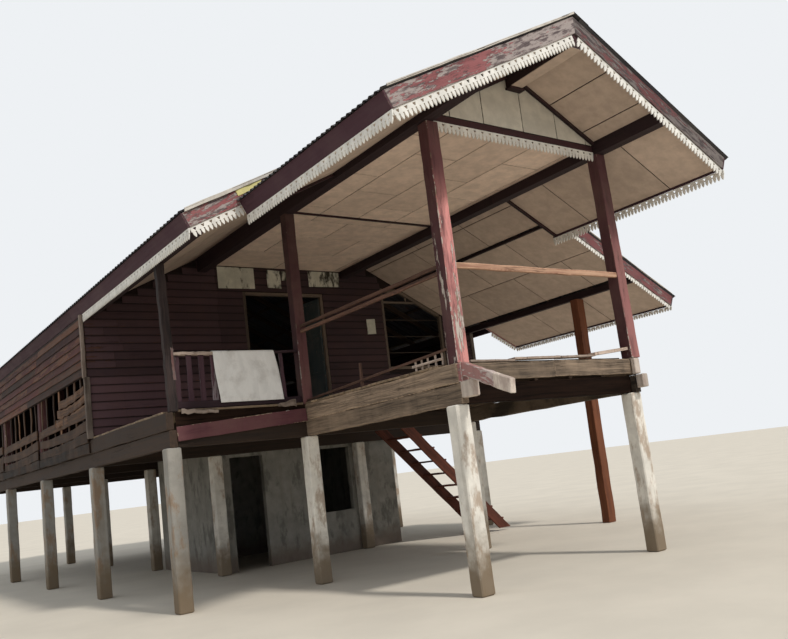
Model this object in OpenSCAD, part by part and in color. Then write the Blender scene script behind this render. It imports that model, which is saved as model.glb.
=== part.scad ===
// Timber house on concrete stilts, with a gabled front porch, a veranda strip,
// a roofed right wing and a plastered room between the stilts.
// X runs along the gable front, Y from the front to the back, Z up.

/* [Post grid] */
// Depth of one bay, from post row to post row
bay = 3000; // [2700:50:3400]
// Bays of the closed house body behind the veranda
house_bays = 3; // [1:1:4]
// Width of the strip left of the porch posts
side_w = 1750; // [1500:50:2200]
// Width of the porch between its post centres
porch_w = 2600; // [2300:50:3000]
// Width of the right wing between its post centres
wing_w = 2700; // [2500:50:3200]

/* [Stilts and floor] */
// Side of a square concrete stilt
stilt_w = 170; // [140:5:220]
// Height of the stilts, from the ground to the floor beams
stilt_h = 1800; // [1500:50:2300]
// Depth of each layer of floor beams and joists
beam_d = 200; // [160:10:240]
// Thickness of a floor beam
beam_w = 90; // [70:5:120]
// How far the lower side beams stand out in front of the porch posts
beam_nose = 270; // [120:10:400]
// Thickness of the floor boards
floor_t = 25; // [18:1:40]
// Wanted spacing of the floor joists
joist_step = 520; // [400:10:700]

/* [Upper posts and walls] */
// Side of a square upper post
post_w = 140; // [110:5:160]
// Side of the wing's long wooden post
wing_post_w = 180; // [140:5:220]
// Height of the porch posts above the floor beams
porch_post_h = 2480; // [2300:20:2800]
// Thickness of the wall boarding
board_t = 20; // [12:1:30]
// Width of the front door opening
door_w = 1480; // [900:20:1500]
// Left edge of the front door opening, from the porch's left posts
door_x = 660; // [560:20:700]
// Height of the front door opening above the floor
door_h = 2165; // [1900:5:2200]
// Width of the big front window
window_w = 1350; // [900:25:1400]
// Left edge of the big front window, from the porch's right posts
window_x = 760; // [560:20:800]
// Height of that window's sill above the floor
window_sill = 815; // [600:5:900]
// Height of that window's opening, where the roof leaves room for it
window_h = 1500; // [1200:20:1700]
// Width of a frame member round a door or window
frame_w = 60; // [40:5:80]

/* [Roof] */
// Pitch of all roof slopes, in degrees
pitch = 27; // [24:0.5:28]
// Overhang of the porch gable in front of its posts
porch_verge = 1030; // [700:10:1200]
// Overhang of the porch roof's left eave
porch_eave_left = 1160; // [900:20:1300]
// Overhang of the porch roof's right eave
porch_eave_right = 990; // [700:10:1100]
// Distance from the veranda's front posts to the main roof's front edge
main_verge = 1240; // [1000:20:1500]
// Height of the main roof's underside over the left posts, above the floor beams
main_left_h = 1840; // [1800:10:2000]
// Place of the main ridge, from the porch's left posts
main_ridge_x = 1500; // [1300:20:1700]
// Overhang of the wing roof's right eave
wing_eave = 825; // [600:25:1000]
// Overhang of the house roof's right eave
house_eave = 220; // [160:10:400]
// Overhang of the main roof at the back
back_verge = 450; // [300:25:700]
// Depth of a rafter
rafter_d = 100; // [80:5:120]
// Drop of the bargeboards and eave boards below the soffit
fascia_drop = 20; // [0:5:50]
// Pitch of the roof sheets' corrugation
wave = 110; // [90:5:160]
// Height of a corrugation
wave_h = 24; // [15:1:35]
// Drop of the white fretwork under the boards
fret_h = 115; // [90:5:160]
// Drop of the wing's finer fretwork
wing_fret_h = 70; // [50:5:120]
// Wanted pitch of the fretwork's teeth
fret_tooth = 56; // [45:1:80]

/* [Room between the stilts] */
// Width of the plastered room
room_w = 3260; // [2700:20:3400]
// Clear space between the room's back and the next stilts
room_gap = 110; // [50:10:900]
// Thickness of its walls
masonry_t = 100; // [80:5:150]

/* [Hidden] */

// Hair joint between pieces that butt within one node
seam = 0.4;
// Post rows
x_left = -side_w;
x_a = 0;
x_b = porch_w;
x_right = porch_w + wing_w;
y_front = 0;
y_ver = bay;
y_house = 2 * bay;
y_back = (2 + house_bays) * bay;
back_rows = [for (i = [2 : 2 + house_bays]) i * bay];
// Levels
z_joist = stilt_h + beam_d;
z_deck = stilt_h + 2 * beam_d;
z_floor = z_deck + floor_t;
z_plate = z_deck + porch_post_h;
main_left_z = z_deck + main_left_h;
// Faces of the closed house body
wall_front = y_house - post_w / 2 - board_t;
wall_back = y_back + post_w / 2 + board_t;
y_end = wall_back - board_t;
wall_left = x_left - post_w / 2 - board_t;
wall_right = x_right + post_w / 2 + board_t;
// Roof planes: the datum is the underside of the soffit sheets
sheet_t = 10;
purlin_d = 40;
roof_t = 6;
fascia_t = 25;
sheet_over = 100;
cap_w = 200;
cap_t = 4;
ridge_gap = 10;
plate_side = 110;
c = cos(pitch);
layer_rafter = sheet_t;
layer_purlin = sheet_t + rafter_d;
layer_roof = layer_purlin + purlin_d;
layer_top = layer_roof + roof_t + wave_h;
porch_ridge = [porch_w / 2, z_plate + plate_side + porch_w / 2 * tan(pitch)];
main_ridge = [main_ridge_x, main_left_z + (main_ridge_x - x_left) * tan(pitch)];
y_verge = y_front - porch_verge;
y_main = y_ver - main_verge;
y_tail = wall_back + back_verge;
// How far the boards under an eave that is cut square lean back below the datum
eave_lean = fascia_drop * c * sin(pitch);
porch_left_x = x_a - porch_eave_left;
porch_right_x = x_b + porch_eave_right;
main_left_x = x_left - post_w / 2 - eave_lean - seam;
wing_right_x = x_right + wing_eave;
house_right_x = x_right + house_eave;
wing_back = 460;
y_wing_end = wall_front - wing_back;
// The model stands on the middle of its box
x_min = main_left_x - fascia_t - sheet_over;
x_max = wing_right_x + fascia_t + sheet_over;
origin_x = (x_min + x_max) / 2;
origin_y = (y_verge - fascia_t + y_tail + fascia_t) / 2;

maroon = "#5a2326";
timber = "#5d5145";
cream = "#c9bfae";
white_paint = "#eceae4";
concrete = "#b9b2a4";
roofing = "#34333a";

function roof_z(ridge, x) = ridge[1] - abs(x - ridge[0]) * tan(pitch);
function spread(from, to, step) =
    let (n = max(1, round((to - from) / step)))
    [for (i = [0 : n]) from + i * (to - from) / n];

// An outline in X and Z, drawn out from y0 to y1
module along_y(y0, y1) {
    translate([0, y1, 0]) rotate([90, 0, 0]) linear_extrude(y1 - y0) children();
}

// An outline in Y and Z, drawn out from x0 to x1
module along_x(x0, x1) {
    translate([x0, 0, 0]) rotate([90, 0, 90]) linear_extrude(x1 - x0) children();
}

module block(x0, x1, y0, y1, z0, z1) {
    translate([x0, y0, z0]) cube([x1 - x0, y1 - y0, z1 - z0]);
}

// A square post centred on a grid point
module post(x, y, w, z0, z1) {
    block(x - w / 2, x + w / 2, y - w / 2, y + w / 2, z0, z1);
}

// One layer of a roof slope between two plumb cuts, t0 to t1 over the datum
module slope_layer(ridge, x0, x1, t0, t1) {
    polygon([[x0, roof_z(ridge, x0) + t0 / c], [x1, roof_z(ridge, x1) + t0 / c],
        [x1, roof_z(ridge, x1) + t1 / c], [x0, roof_z(ridge, x0) + t1 / c]]);
}

// The point t square off the datum, and then out down the slope from there
function off_slope(ridge, x, t, out = 0) =
    let (side = x > ridge[0] ? 1 : -1)
    [x + side * (t * sin(pitch) + out * c), roof_z(ridge, x) + t * c - out * sin(pitch)];

// A layer that is cut square at its eave and plumb at its upper end
module eave_layer(ridge, eave_x, x, t0, t1) {
    polygon([off_slope(ridge, eave_x, t0), off_slope(ridge, eave_x, t1),
        [x, roof_z(ridge, x) + t1 / c], [x, roof_z(ridge, x) + t0 / c]]);
}

// Underside of the main roof's rafters
function wall_z(x) = roof_z(main_ridge, x) + sheet_t / c;

// A wall panel from z0 up to the main roof's rafters
module tall_panel(x0, x1, z0, y0, y1) {
    along_y(y0, y1) polygon(concat([[x0, z0], [x1, z0]], [[x1, wall_z(x1)]],
        x0 < main_ridge_x && x1 > main_ridge_x ? [[main_ridge_x, wall_z(main_ridge_x)]] : [],
        [[x0, wall_z(x0)]]));
}

// Corrugated sheet of one slope, from the ridge down to tip_x
module corrugated(ridge, tip_x, y0, y1) {
    side = tip_x > ridge[0] ? 1 : -1;
    run = abs(tip_x - ridge[0]);
    start = (ridge_gap - layer_roof * sin(pitch)) / c;
    end = (run - layer_top * sin(pitch)) / c;
    n = round((y1 - y0) / wave);
    p = (y1 - y0) / n;
    crest = [for (i = [0 : n - 1], k = [[0.1, 0], [0.4, 1], [0.6, 1], [0.9, 0]])
        [y0 + (i + k[0]) * p, k[1] * wave_h]];
    under = concat([[y0, 0]], crest, [[y1, 0]]);
    over = [for (i = [len(under) - 1 : -1 : 0]) under[i] + [0, roof_t]];
    translate([ridge[0], 0, ridge[1]]) mirror([side < 0 ? 1 : 0, 0, 0])
        rotate([0, pitch, 0]) translate([0, 0, layer_roof])
        along_x(start, end) polygon(concat(under, over));
}

module stilt(x, y) {
    post(x, y, stilt_w, 0, stilt_h);
}

module front_concrete_posts() {
    color(concrete) for (x = [x_a, x_b]) stilt(x, y_front);
}

module side_concrete_posts() {
    color(concrete) {
        for (y = concat([y_ver], back_rows)) stilt(x_left, y);
        for (y = back_rows) stilt(x_right, y);
    }
}

module inner_concrete_posts() {
    color(concrete) for (x = [x_a, x_b], y = concat([y_ver], back_rows)) stilt(x, y);
}

// The wing's long wooden post runs from the ground to the wall plate
module wing_post() {
    color("#8a5a3c") post(x_right, y_ver, wing_post_w, 0, z_plate_right);
}

// Undersides of the plates that carry the main roof
z_plate_left = roof_z(main_ridge, x_left) - plate_side;
z_plate_right = roof_z(main_ridge, x_right) - plate_side;

// Two beams lie on each other along both sides of the porch
module porch_side_beams() {
    color(timber) for (x = [x_a, x_b]) {
        block(x - beam_w / 2, x + beam_w / 2, y_front - beam_nose,
            y_ver - beam_w / 2 - seam, stilt_h, z_joist - seam);
        block(x - beam_w / 2, x + beam_w / 2, y_front - beam_nose / 2,
            y_end, z_joist, z_deck);
    }
}

// A split board that hangs down from the end of the upper left beam
nose_l = 640;
nose_t = 70;
nose_d = 130;
nose_fall = 262;
nose_cut = 15;

module beam_noses() {
    y0 = y_front - beam_nose / 2;
    color(maroon) along_x(x_a - nose_t / 2, x_a + nose_t / 2) polygon([
        [y0, z_deck - nose_d], [y0, z_deck],
        [y0 - nose_l + nose_cut, z_deck - nose_fall],
        [y0 - nose_l, z_deck - nose_d - nose_fall]]);
}

// Gap under the board that hides the porch's joist ends
edge_gap = 20;

module porch_front_beams() {
    color(timber) {
        block(x_a + beam_w / 2, x_b - beam_w / 2, y_front - beam_w / 2,
            y_front + beam_w / 2, stilt_h, z_joist);
        block(x_a + beam_w / 2, x_b - beam_w / 2, y_front - beam_w / 2 - fascia_t,
            y_front - beam_w / 2, z_joist + edge_gap, z_deck);
    }
}

module left_floor_beam() {
    out = x_left - post_w / 2;
    color(timber) {
        block(x_left - beam_w / 2, x_left + beam_w / 2, y_ver - stilt_w / 2, y_end,
            stilt_h, z_joist - seam);
        block(out, out + beam_w, y_ver - stilt_w / 2, y_end, z_joist, z_deck);
    }
}

module cross_beams() {
    color(timber) for (y = concat([y_ver], back_rows))
        block(x_left + beam_w / 2, y == y_ver ? x_b + stilt_w / 2 : x_right + stilt_w / 2,
            y - beam_w / 2, y + beam_w / 2, stilt_h, z_joist);
}

// Joists between the side beams, first of one bay strip and then of the next
module joists(x0, x1, y0, y1) {
    places = spread(x0, x1, joist_step);
    for (i = [1 : len(places) - 2])
        block(places[i] - beam_w / 4, places[i] + beam_w / 4, y0, y1, z_joist, z_deck);
}

module floor_joists() {
    color(timber) {
        joists(x_left, x_a, y_ver - beam_w / 2, y_end);
        joists(x_a, x_b, y_front - beam_w / 2, y_end);
        joists(x_b, x_right, y_house - beam_w / 2, y_end);
        block(x_right - beam_w / 2, x_right + beam_w / 2, y_house - beam_w / 2,
            y_end, z_joist, z_deck);
    }
}

// Floor boards with a notch round each post that stands on the beams
module deck(x0, x1, y0, y1) {
    difference() {
        block(x0, x1, y0, y1, z_deck, z_floor);
        for (x = [x_left, x_a, x_b, x_right], y = concat([y_front, y_ver], back_rows))
            post(x, y, post_w, z_deck - 1, z_floor + 1);
    }
}

module porch_floor() {
    color(timber) deck(x_a - beam_w / 2, x_b + beam_w / 2,
        y_front - beam_w / 2 - fascia_t, y_ver - post_w / 2 - seam);
}

module veranda_floor() {
    color(timber) deck(x_left - beam_w / 2, x_b + beam_w / 2,
        y_ver - post_w / 2, wall_front - seam);
}

module house_floor() {
    color(timber) deck(x_left - post_w / 2, x_right + post_w / 2, wall_front + board_t,
        wall_back - board_t);
}

// The veranda's red board sags to the left
veranda_fascia_h = 170;
veranda_sag = 120;
veranda_fascia_drop = 50;

module veranda_fascia() {
    x0 = x_left + beam_w / 2;
    x1 = x_a - beam_w / 2;
    top = z_deck - veranda_fascia_drop;
    color(maroon) along_y(y_ver - stilt_w / 2, y_ver - stilt_w / 2 + fascia_t) polygon([
        [x0, top - veranda_sag - veranda_fascia_h], [x1, top - veranda_fascia_h],
        [x1, top], [x0, top - veranda_sag]]);
}

module porch_posts() {
    color(maroon) for (x = [x_a, x_b], y = [y_front, y_ver])
        post(x, y, post_w, z_deck, z_plate);
}

module veranda_post() {
    color(timber) post(x_left, y_ver, post_w, z_deck, z_plate_left);
}

module house_posts() {
    color(maroon) {
        for (y = back_rows) {
            post(x_left, y, post_w, z_deck, z_plate_left);
            post(x_right, y, post_w, z_deck, z_plate_right);
        }
        for (x = [x_a, x_b]) post(x, y_house, post_w, z_deck, z_plate);
        for (x = [x_a, x_b])
            post(x, y_back, post_w, z_deck, min(wall_z(x - post_w / 2), wall_z(x + post_w / 2)));
    }
}

// A plate whose top follows the slope that rests on it
module plate(x, ridge, z0, y0, y1) {
    e = post_w / 2;
    along_y(y0, y1) polygon([[x - e, z0], [x + e, z0],
        [x + e, roof_z(ridge, x + e) + sheet_t / c],
        [x - e, roof_z(ridge, x - e) + sheet_t / c]]);
}

module wall_plates() {
    color(maroon) {
        for (x = [x_a, x_b]) {
            plate(x, porch_ridge, z_plate, y_verge + fascia_t, y_main + fascia_t - seam);
            plate(x, main_ridge, z_plate, y_main + fascia_t, y_house + post_w / 2);
        }
        plate(x_left, main_ridge, z_plate_left, y_main + fascia_t, y_tail - fascia_t);
        plate(x_right, main_ridge, z_plate_right, y_main + fascia_t, y_tail - fascia_t);
    }
}

// The tie across the front posts, and the ridge beam that comes out over it
tie_w = 60;
tie_h = 80;
tie_z = z_plate + 30;
ridge_beam_w = 170;
ridge_beam_d = 180;

module gable_beams() {
    color(maroon) {
        block(x_a + post_w / 2, x_b - post_w / 2, y_front - tie_w / 2,
            y_front + tie_w / 2, tie_z, tie_z + tie_h);
        along_y(y_verge + fascia_t, y_front - tie_w / 2) polygon([
            [porch_ridge[0] - ridge_beam_w / 2, porch_ridge[1] - ridge_beam_d],
            [porch_ridge[0] + ridge_beam_w / 2, porch_ridge[1] - ridge_beam_d],
            [porch_ridge[0] + ridge_beam_w / 2,
                roof_z(porch_ridge, porch_ridge[0] + ridge_beam_w / 2)],
            porch_ridge,
            [porch_ridge[0] - ridge_beam_w / 2,
                roof_z(porch_ridge, porch_ridge[0] - ridge_beam_w / 2)]]);
    }
}

module gable_panel() {
    color(white_paint) along_y(y_front - tie_w / 2, y_front - tie_w / 2 + sheet_t) polygon([
        [x_a + post_w / 2, tie_z + tie_h], [x_b - post_w / 2, tie_z + tie_h],
        [x_b - post_w / 2, roof_z(porch_ridge, x_b - post_w / 2) + sheet_t / c],
        porch_ridge + [0, sheet_t / c],
        [x_a + post_w / 2, roof_z(porch_ridge, x_a + post_w / 2) + sheet_t / c]]);
}

ceiling_z = z_plate + plate_side + 10;

module porch_ceiling() {
    color(cream) block(x_a + post_w / 2, x_b - post_w / 2, y_front + tie_w / 2,
        wall_front, ceiling_z, ceiling_z + sheet_t);
}

// Soffit sheets under the porch rafters, outside the plates and before the gable
module porch_soffits() {
    y0 = y_verge + fascia_t;
    color(cream) {
        along_y(y0, y_main - seam)
            eave_layer(porch_ridge, porch_left_x, x_a - post_w / 2, 0, sheet_t);
        along_y(y0, y_main - seam)
            eave_layer(porch_ridge, porch_right_x, x_b + post_w / 2, 0, sheet_t);
        along_y(y0, y_front - tie_w / 2)
            slope_layer(porch_ridge, x_a + post_w / 2, porch_ridge[0] - seam, 0, sheet_t);
        along_y(y0, y_front - tie_w / 2)
            slope_layer(porch_ridge, porch_ridge[0] + seam, x_b - post_w / 2, 0, sheet_t);
    }
}

module main_soffits() {
    y0 = y_main + fascia_t;
    color(cream) {
        along_y(y0, wall_front)
            slope_layer(main_ridge, x_left + post_w / 2, x_a - post_w / 2, 0, sheet_t);
        along_y(y0, wall_front)
            slope_layer(main_ridge, x_b + post_w / 2, x_right - post_w / 2, 0, sheet_t);
        along_y(y0, y_wing_end - fascia_t)
            eave_layer(main_ridge, wing_right_x, x_right + post_w / 2, 0, sheet_t);
    }
}

// Dark battens nailed under the soffits, the ceiling and along the gable
batten_d = 35;
batten_w = 45;
trim_d = 15;
ceiling_strip = 160;
wing_batten_in = 240;
wing_batten_x = (x_b + x_right) / 2 - wing_batten_in;

module soffit_battens() {
    y1 = y_main - seam;
    y2 = y_front - tie_w / 2 - seam;
    e = eave_lean + batten_d * c * sin(pitch) + seam;
    color("#2c1a1b") {
        for (k = [[porch_left_x + e, x_a - post_w / 2 - seam],
                [x_b + post_w / 2 + seam, porch_right_x - e]])
            along_y(y1 - 2 * batten_w, y1 - batten_w)
                slope_layer(porch_ridge, k[0], k[1], -batten_d, 0);
        for (k = [[x_a + post_w / 2 + seam, porch_ridge[0] - ridge_beam_w / 2 - seam],
                [porch_ridge[0] + ridge_beam_w / 2 + seam, x_b - post_w / 2 - seam]])
            along_y(y2 - batten_w, y2)
                slope_layer(porch_ridge, k[0], k[1], -batten_d, 0);
        along_y(y_main + fascia_t + 2 * batten_w, wall_front - frame_out - seam)
            slope_layer(main_ridge, wing_batten_x, wing_batten_x + batten_w, -batten_d, 0);
        block(x_a + post_w / 2 + seam, x_b - post_w / 2 - seam, y_ver + ceiling_strip,
            y_ver + ceiling_strip + batten_w, ceiling_z - trim_d, ceiling_z);
        block(x_a + post_w / 2 + seam, x_b - post_w / 2 - seam, wall_front - batten_w,
            wall_front - seam, ceiling_z - trim_d, ceiling_z);
    }
}

// A pair of rafters that meet at the ridge
module rafter_pair(ridge, x0, x1, y) {
    along_y(y, y + beam_w / 2) {
        eave_layer(ridge, x0, ridge[0] - seam, layer_rafter, layer_purlin);
        eave_layer(ridge, x1, ridge[0] + seam, layer_rafter, layer_purlin);
    }
}

rafter_step = 900;
porch_rafter_y = spread(y_verge + fascia_t, y_main - beam_w / 2 - seam, rafter_step);
wing_rafter_y = spread(y_main + fascia_t, y_wing_end - fascia_t - beam_w / 2, rafter_step);
house_rafter_y = spread(wall_front, y_tail - fascia_t - beam_w / 2, rafter_step);

module roof_rafters() {
    color(timber) {
        for (y = porch_rafter_y) rafter_pair(porch_ridge, porch_left_x, porch_right_x, y);
        for (y = wing_rafter_y) rafter_pair(main_ridge, main_left_x, wing_right_x, y);
        for (y = house_rafter_y) rafter_pair(main_ridge, main_left_x, house_right_x, y);
    }
}

// Battens along the roof that the sheets are nailed to
module purlins(ridge, places, y0, y1) {
    for (x = places)
        along_y(y0, y1) slope_layer(ridge, x - beam_w / 4, x + beam_w / 4,
            layer_purlin, layer_roof);
}

purlin_step = 800;
purlin_edge = beam_w;

module roof_purlins() {
    e = purlin_edge;
    y0 = y_verge + fascia_t;
    y1 = y_main + fascia_t;
    y2 = y_tail - fascia_t;
    color(timber) {
        purlins(porch_ridge, spread(porch_left_x + e, porch_ridge[0] - e, purlin_step),
            y0, y_main - seam);
        purlins(porch_ridge, spread(porch_ridge[0] + e, porch_right_x - e, purlin_step),
            y0, y_main - seam);
        purlins(main_ridge, spread(main_left_x + e, main_ridge[0] - e, purlin_step), y1, y2);
        purlins(main_ridge, spread(main_ridge[0] + e, x_right, purlin_step), y1, y2);
        purlins(main_ridge, [wing_right_x - e], y1, y_wing_end - fascia_t);
    }
}

module porch_roof_left() {
    color(roofing) corrugated(porch_ridge, porch_left_x - fascia_t - sheet_over,
        y_verge - fascia_t, y_main - seam);
}

module porch_roof_right() {
    color(roofing) corrugated(porch_ridge, porch_right_x + fascia_t + sheet_over,
        y_verge - fascia_t, y_main - seam);
}

module main_roof_left() {
    color(roofing) corrugated(main_ridge, x_min, y_main - fascia_t, y_tail + fascia_t);
}

module main_roof_right() {
    color(roofing) corrugated(main_ridge, house_right_x + fascia_t + sheet_over,
        y_wing_end + seam, y_tail + fascia_t);
}

module wing_roof() {
    color(roofing) corrugated(main_ridge, x_max, y_main - fascia_t, y_wing_end);
}

module ridge_cap(ridge, y0, y1) {
    along_y(y0, y1) {
        slope_layer(ridge, ridge[0] - cap_w, ridge[0] - seam / 2, layer_top,
            layer_top + cap_t);
        slope_layer(ridge, ridge[0] + seam / 2, ridge[0] + cap_w, layer_top,
            layer_top + cap_t);
    }
}

module ridge_caps() {
    color(roofing) {
        ridge_cap(porch_ridge, y_verge - fascia_t, y_main - seam);
        ridge_cap(main_ridge, y_main - fascia_t, y_tail + fascia_t);
    }
}

// Boards that close a verge, one on each slope
module barge_board(ridge, eave_x, x, y0) {
    along_y(y0, y0 + fascia_t)
        eave_layer(ridge, eave_x, x, -fascia_drop * c, layer_roof);
}

module barge_pair(ridge, x0, x1, y0) {
    barge_board(ridge, x0, ridge[0] - seam, y0);
    barge_board(ridge, x1, ridge[0] + seam, y0);
}

module bargeboards() {
    color(maroon) {
        barge_pair(porch_ridge, porch_left_x, porch_right_x, y_verge);
        barge_pair(main_ridge, main_left_x, wing_right_x, y_main);
        barge_pair(main_ridge, main_left_x, house_right_x, y_tail - fascia_t);
        barge_board(main_ridge, wing_right_x, x_right + post_w / 2, y_wing_end - fascia_t);
    }
}

// Boards that close an eave, square to its rafters
module eave_board(ridge, x, y0, y1) {
    t = -fascia_drop * c;
    along_y(y0, y1) polygon([off_slope(ridge, x, t), off_slope(ridge, x, layer_roof),
        off_slope(ridge, x, layer_roof, fascia_t), off_slope(ridge, x, t, fascia_t)]);
}

// Lowest outer edge of an eave board
function eave_edge(ridge, x) = off_slope(ridge, x, -fascia_drop * c, fascia_t);

module eave_fascias() {
    color(maroon) {
        eave_board(porch_ridge, porch_left_x, y_verge, y_main - seam);
        eave_board(porch_ridge, porch_right_x, y_verge, y_main - seam);
        eave_board(main_ridge, main_left_x, y_main, y_tail);
        eave_board(main_ridge, wing_right_x, y_main, y_wing_end);
        eave_board(main_ridge, house_right_x, y_wing_end + seam, y_tail);
    }
}

fret_t = 12;

// A band with pierced triangles and a row of pointed teeth below
fret_band = 0.52;
fret_leaf = [[0.1, 0], [0.05, 0.45], [0.5, 1], [0.95, 0.45], [0.9, 0]];
fret_hole = [[-0.38, -0.22], [0, -0.78], [0.38, -0.22]];

module fret_strip(len, drop) {
    n = 2 * round(len / fret_tooth / 2);
    p = len / n;
    band = drop * fret_band;
    linear_extrude(fret_t) difference() {
        polygon(concat([[0, 0], [0, -band]],
            [for (i = [0 : n - 1], k = fret_leaf)
                [(i + k[0]) * p, -band - k[1] * (drop - band)]],
            [[len, -band], [len, 0]]));
        for (i = [1 : 2 : n - 1]) translate([i * p, 0])
            polygon([for (k = fret_hole) [k[0] * p, k[1] * band]]);
    }
}

// Fretwork under a bargeboard, between plumb cuts at its two ends
module verge_fret(ridge, low_x, high_x, y, drop) {
    lead = drop * tan(pitch);
    intersection() {
        translate([low_x, y + fret_t, roof_z(ridge, low_x) - fascia_drop])
            mirror([low_x < high_x ? 0 : 1, 0, 0]) rotate([0, -pitch, 0])
            translate([-lead, 0, 0]) rotate([90, 0, 0])
            fret_strip(abs(high_x - low_x) / c + lead, drop);
        block(min(low_x, high_x), max(low_x, high_x), y - fret_t, y + 2 * fret_t,
            0, 2 * z_plate);
    }
}

// Fretwork under an eave board
module eave_fret(ridge, x, y0, y1, drop) {
    edge = eave_edge(ridge, x);
    translate([edge[0] - (x > ridge[0] ? fret_t : 0), y0, edge[1] - seam])
        rotate([90, 0, 90]) fret_strip(y1 - y0, drop);
}

module porch_fretwork() {
    color(white_paint) {
        verge_fret(porch_ridge, porch_left_x, porch_ridge[0] - seam, y_verge, fret_h);
        verge_fret(porch_ridge, porch_right_x, porch_ridge[0] + seam, y_verge, fret_h);
        eave_fret(porch_ridge, porch_left_x, y_verge, y_main - seam, fret_h);
        eave_fret(porch_ridge, porch_right_x, y_verge, y_main - seam, fret_h);
        translate([x_a + post_w / 2, y_front - tie_w / 2 + fret_t, tie_z])
            rotate([90, 0, 0]) fret_strip(x_b - x_a - post_w, fret_h);
    }
}

module main_fretwork() {
    color(white_paint) {
        verge_fret(main_ridge, main_left_x, porch_left_x - 2 * fret_t, y_main, fret_h);
        verge_fret(main_ridge, wing_right_x, porch_right_x + 2 * fret_t, y_main,
            wing_fret_h);
        eave_fret(main_ridge, main_left_x, y_main, wall_front - seam, fret_h);
        eave_fret(main_ridge, wing_right_x, y_main, y_wing_end - fret_t - seam, wing_fret_h);
        verge_fret(main_ridge, wing_right_x, house_right_x + fascia_t,
            y_wing_end - fret_t, wing_fret_h);
    }
}

door_left = x_a + door_x;
door_right = door_left + door_w;
door_top = z_floor + door_h;
win_left = x_b + window_x;
win_right = win_left + window_w;
win_bottom = z_floor + window_sill;
win_head = min(win_bottom + window_h, roof_z(main_ridge, win_left + 3 * frame_w));

// Front wall panels, split beside and over the openings and under the plates
module front_wall() {
    y0 = wall_front;
    y1 = wall_front + board_t;
    e = post_w / 2;
    color(maroon) {
        block(x_left - e, x_left + e, y0, y1, z_deck, z_plate_left);
        tall_panel(x_left + e + seam, x_a - e - seam, z_deck, y0, y1);
        block(x_a - e, x_a + e, y0, y1, z_deck, z_plate);
        tall_panel(x_a + e + seam, door_left, z_deck, y0, y1);
        tall_panel(door_left + seam, door_right - seam, door_top, y0, y1);
        tall_panel(door_right, x_b - e - seam, z_deck, y0, y1);
        block(x_b - e, x_b + e, y0, y1, z_deck, z_plate);
        tall_panel(x_b + e + seam, win_left, z_joist, y0, y1);
        block(win_left + seam, win_right - seam, y0, y1, z_joist, win_bottom);
        intersection() {
            tall_panel(win_left + seam, win_right - seam, win_bottom, y0, y1);
            block(win_left, win_right, y0, y1, win_head, z_plate + bay);
        }
        tall_panel(win_right, x_right - e - seam, z_joist, y0, y1);
        block(x_right - e, x_right + e, y0, y1, z_joist, z_plate_right);
    }
}

// The left wall is boarded above a long open strip with leaning slats
strip_sill = 425;
strip_h = 450;
strip_bottom = z_floor + strip_sill;
strip_top = strip_bottom + strip_h;

module left_wall() {
    color(maroon) block(wall_left, wall_left + board_t, wall_front, wall_back, strip_top,
        eave_edge(main_ridge, main_left_x)[1] - seam);
}

plank_h = 150;
plank_gap = 20;
slat_w = 90;
slat_step = 420;
slat_end = 250;
slat_over = 150;

module left_parapet() {
    color(timber) {
        for (z = spread(z_joist, strip_bottom - plank_h, plank_h + plank_gap))
            block(wall_left, wall_left + board_t, wall_front, wall_back, z, z + plank_h);
        for (row = [0 : house_bays - 1])
            for (y = spread(back_rows[row] + slat_end, back_rows[row + 1] - slat_end,
                    slat_step))
                block(x_left - post_w / 2 + seam, x_left - post_w / 2 + seam + board_t,
                    y - slat_w / 2, y + slat_w / 2, z_floor, strip_top + slat_over);
    }
}

// One plain window in the right wall and one in the back wall
small_w = 900;
small_h = 800;
right_top = roof_z(main_ridge, x_right + post_w / 2);
small_drop = 200;
small_sill = 900;
right_head = right_top - small_drop;
right_sill = right_head - small_h;
right_y0 = (y_house + y_back) / 2 - small_w / 2;
back_sill = z_floor + small_sill;
back_head = back_sill + small_h;
back_x0 = (x_a + x_b) / 2 - small_w / 2;

module right_wall() {
    x0 = wall_right - board_t;
    w0 = right_y0;
    w1 = right_y0 + small_w;
    color(maroon) {
        block(x0, wall_right, wall_front, w0 - seam, z_joist, right_top);
        block(x0, wall_right, w0, w1, z_joist, right_sill);
        block(x0, wall_right, w0, w1, right_head, right_top);
        block(x0, wall_right, w1 + seam, wall_back, z_joist, right_top);
    }
}

module back_wall() {
    w0 = back_x0;
    w1 = back_x0 + small_w;
    e = post_w / 2;
    color(maroon) {
        block(x_left - e, x_left + e, y_end, wall_back, z_joist, z_plate_left);
        tall_panel(x_left + e + seam, w0 - seam, z_joist, y_end, wall_back);
        block(w0, w1, y_end, wall_back, z_joist, back_sill);
        tall_panel(w0, w1, back_head, y_end, wall_back);
        tall_panel(w1 + seam, x_right - e - seam, z_joist, y_end, wall_back);
        block(x_right - e, x_right + e, y_end, wall_back, z_joist, z_plate_right);
    }
}

// A frame of four members round an opening in a wall that faces Y
module frame_y(x0, x1, z0, z1, y0, y1, sill) {
    block(x0, x0 + frame_w, y0, y1, z0, z1);
    block(x1 - frame_w, x1, y0, y1, z0, z1);
    block(x0 + frame_w + seam, x1 - frame_w - seam, y0, y1, z1 - frame_w, z1);
    if (sill) block(x0 + frame_w + seam, x1 - frame_w - seam, y0, y1, z0, z0 + frame_w);
}

frame_out = 10;
window_transom = 1230;

module door_frame() {
    color(cream) {
        frame_y(door_left + seam, door_right - seam, z_floor, door_top - seam,
            wall_front - frame_out, wall_front + frame_w, false);
        block(door_left + frame_w + 2 * seam, door_right - frame_w - 2 * seam, wall_front,
            wall_front + board_t, z_deck, z_floor);
    }
}

// Head of the front window, level first and then along the roof
function win_top(x) = min(win_head, roof_z(main_ridge, x));

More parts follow.
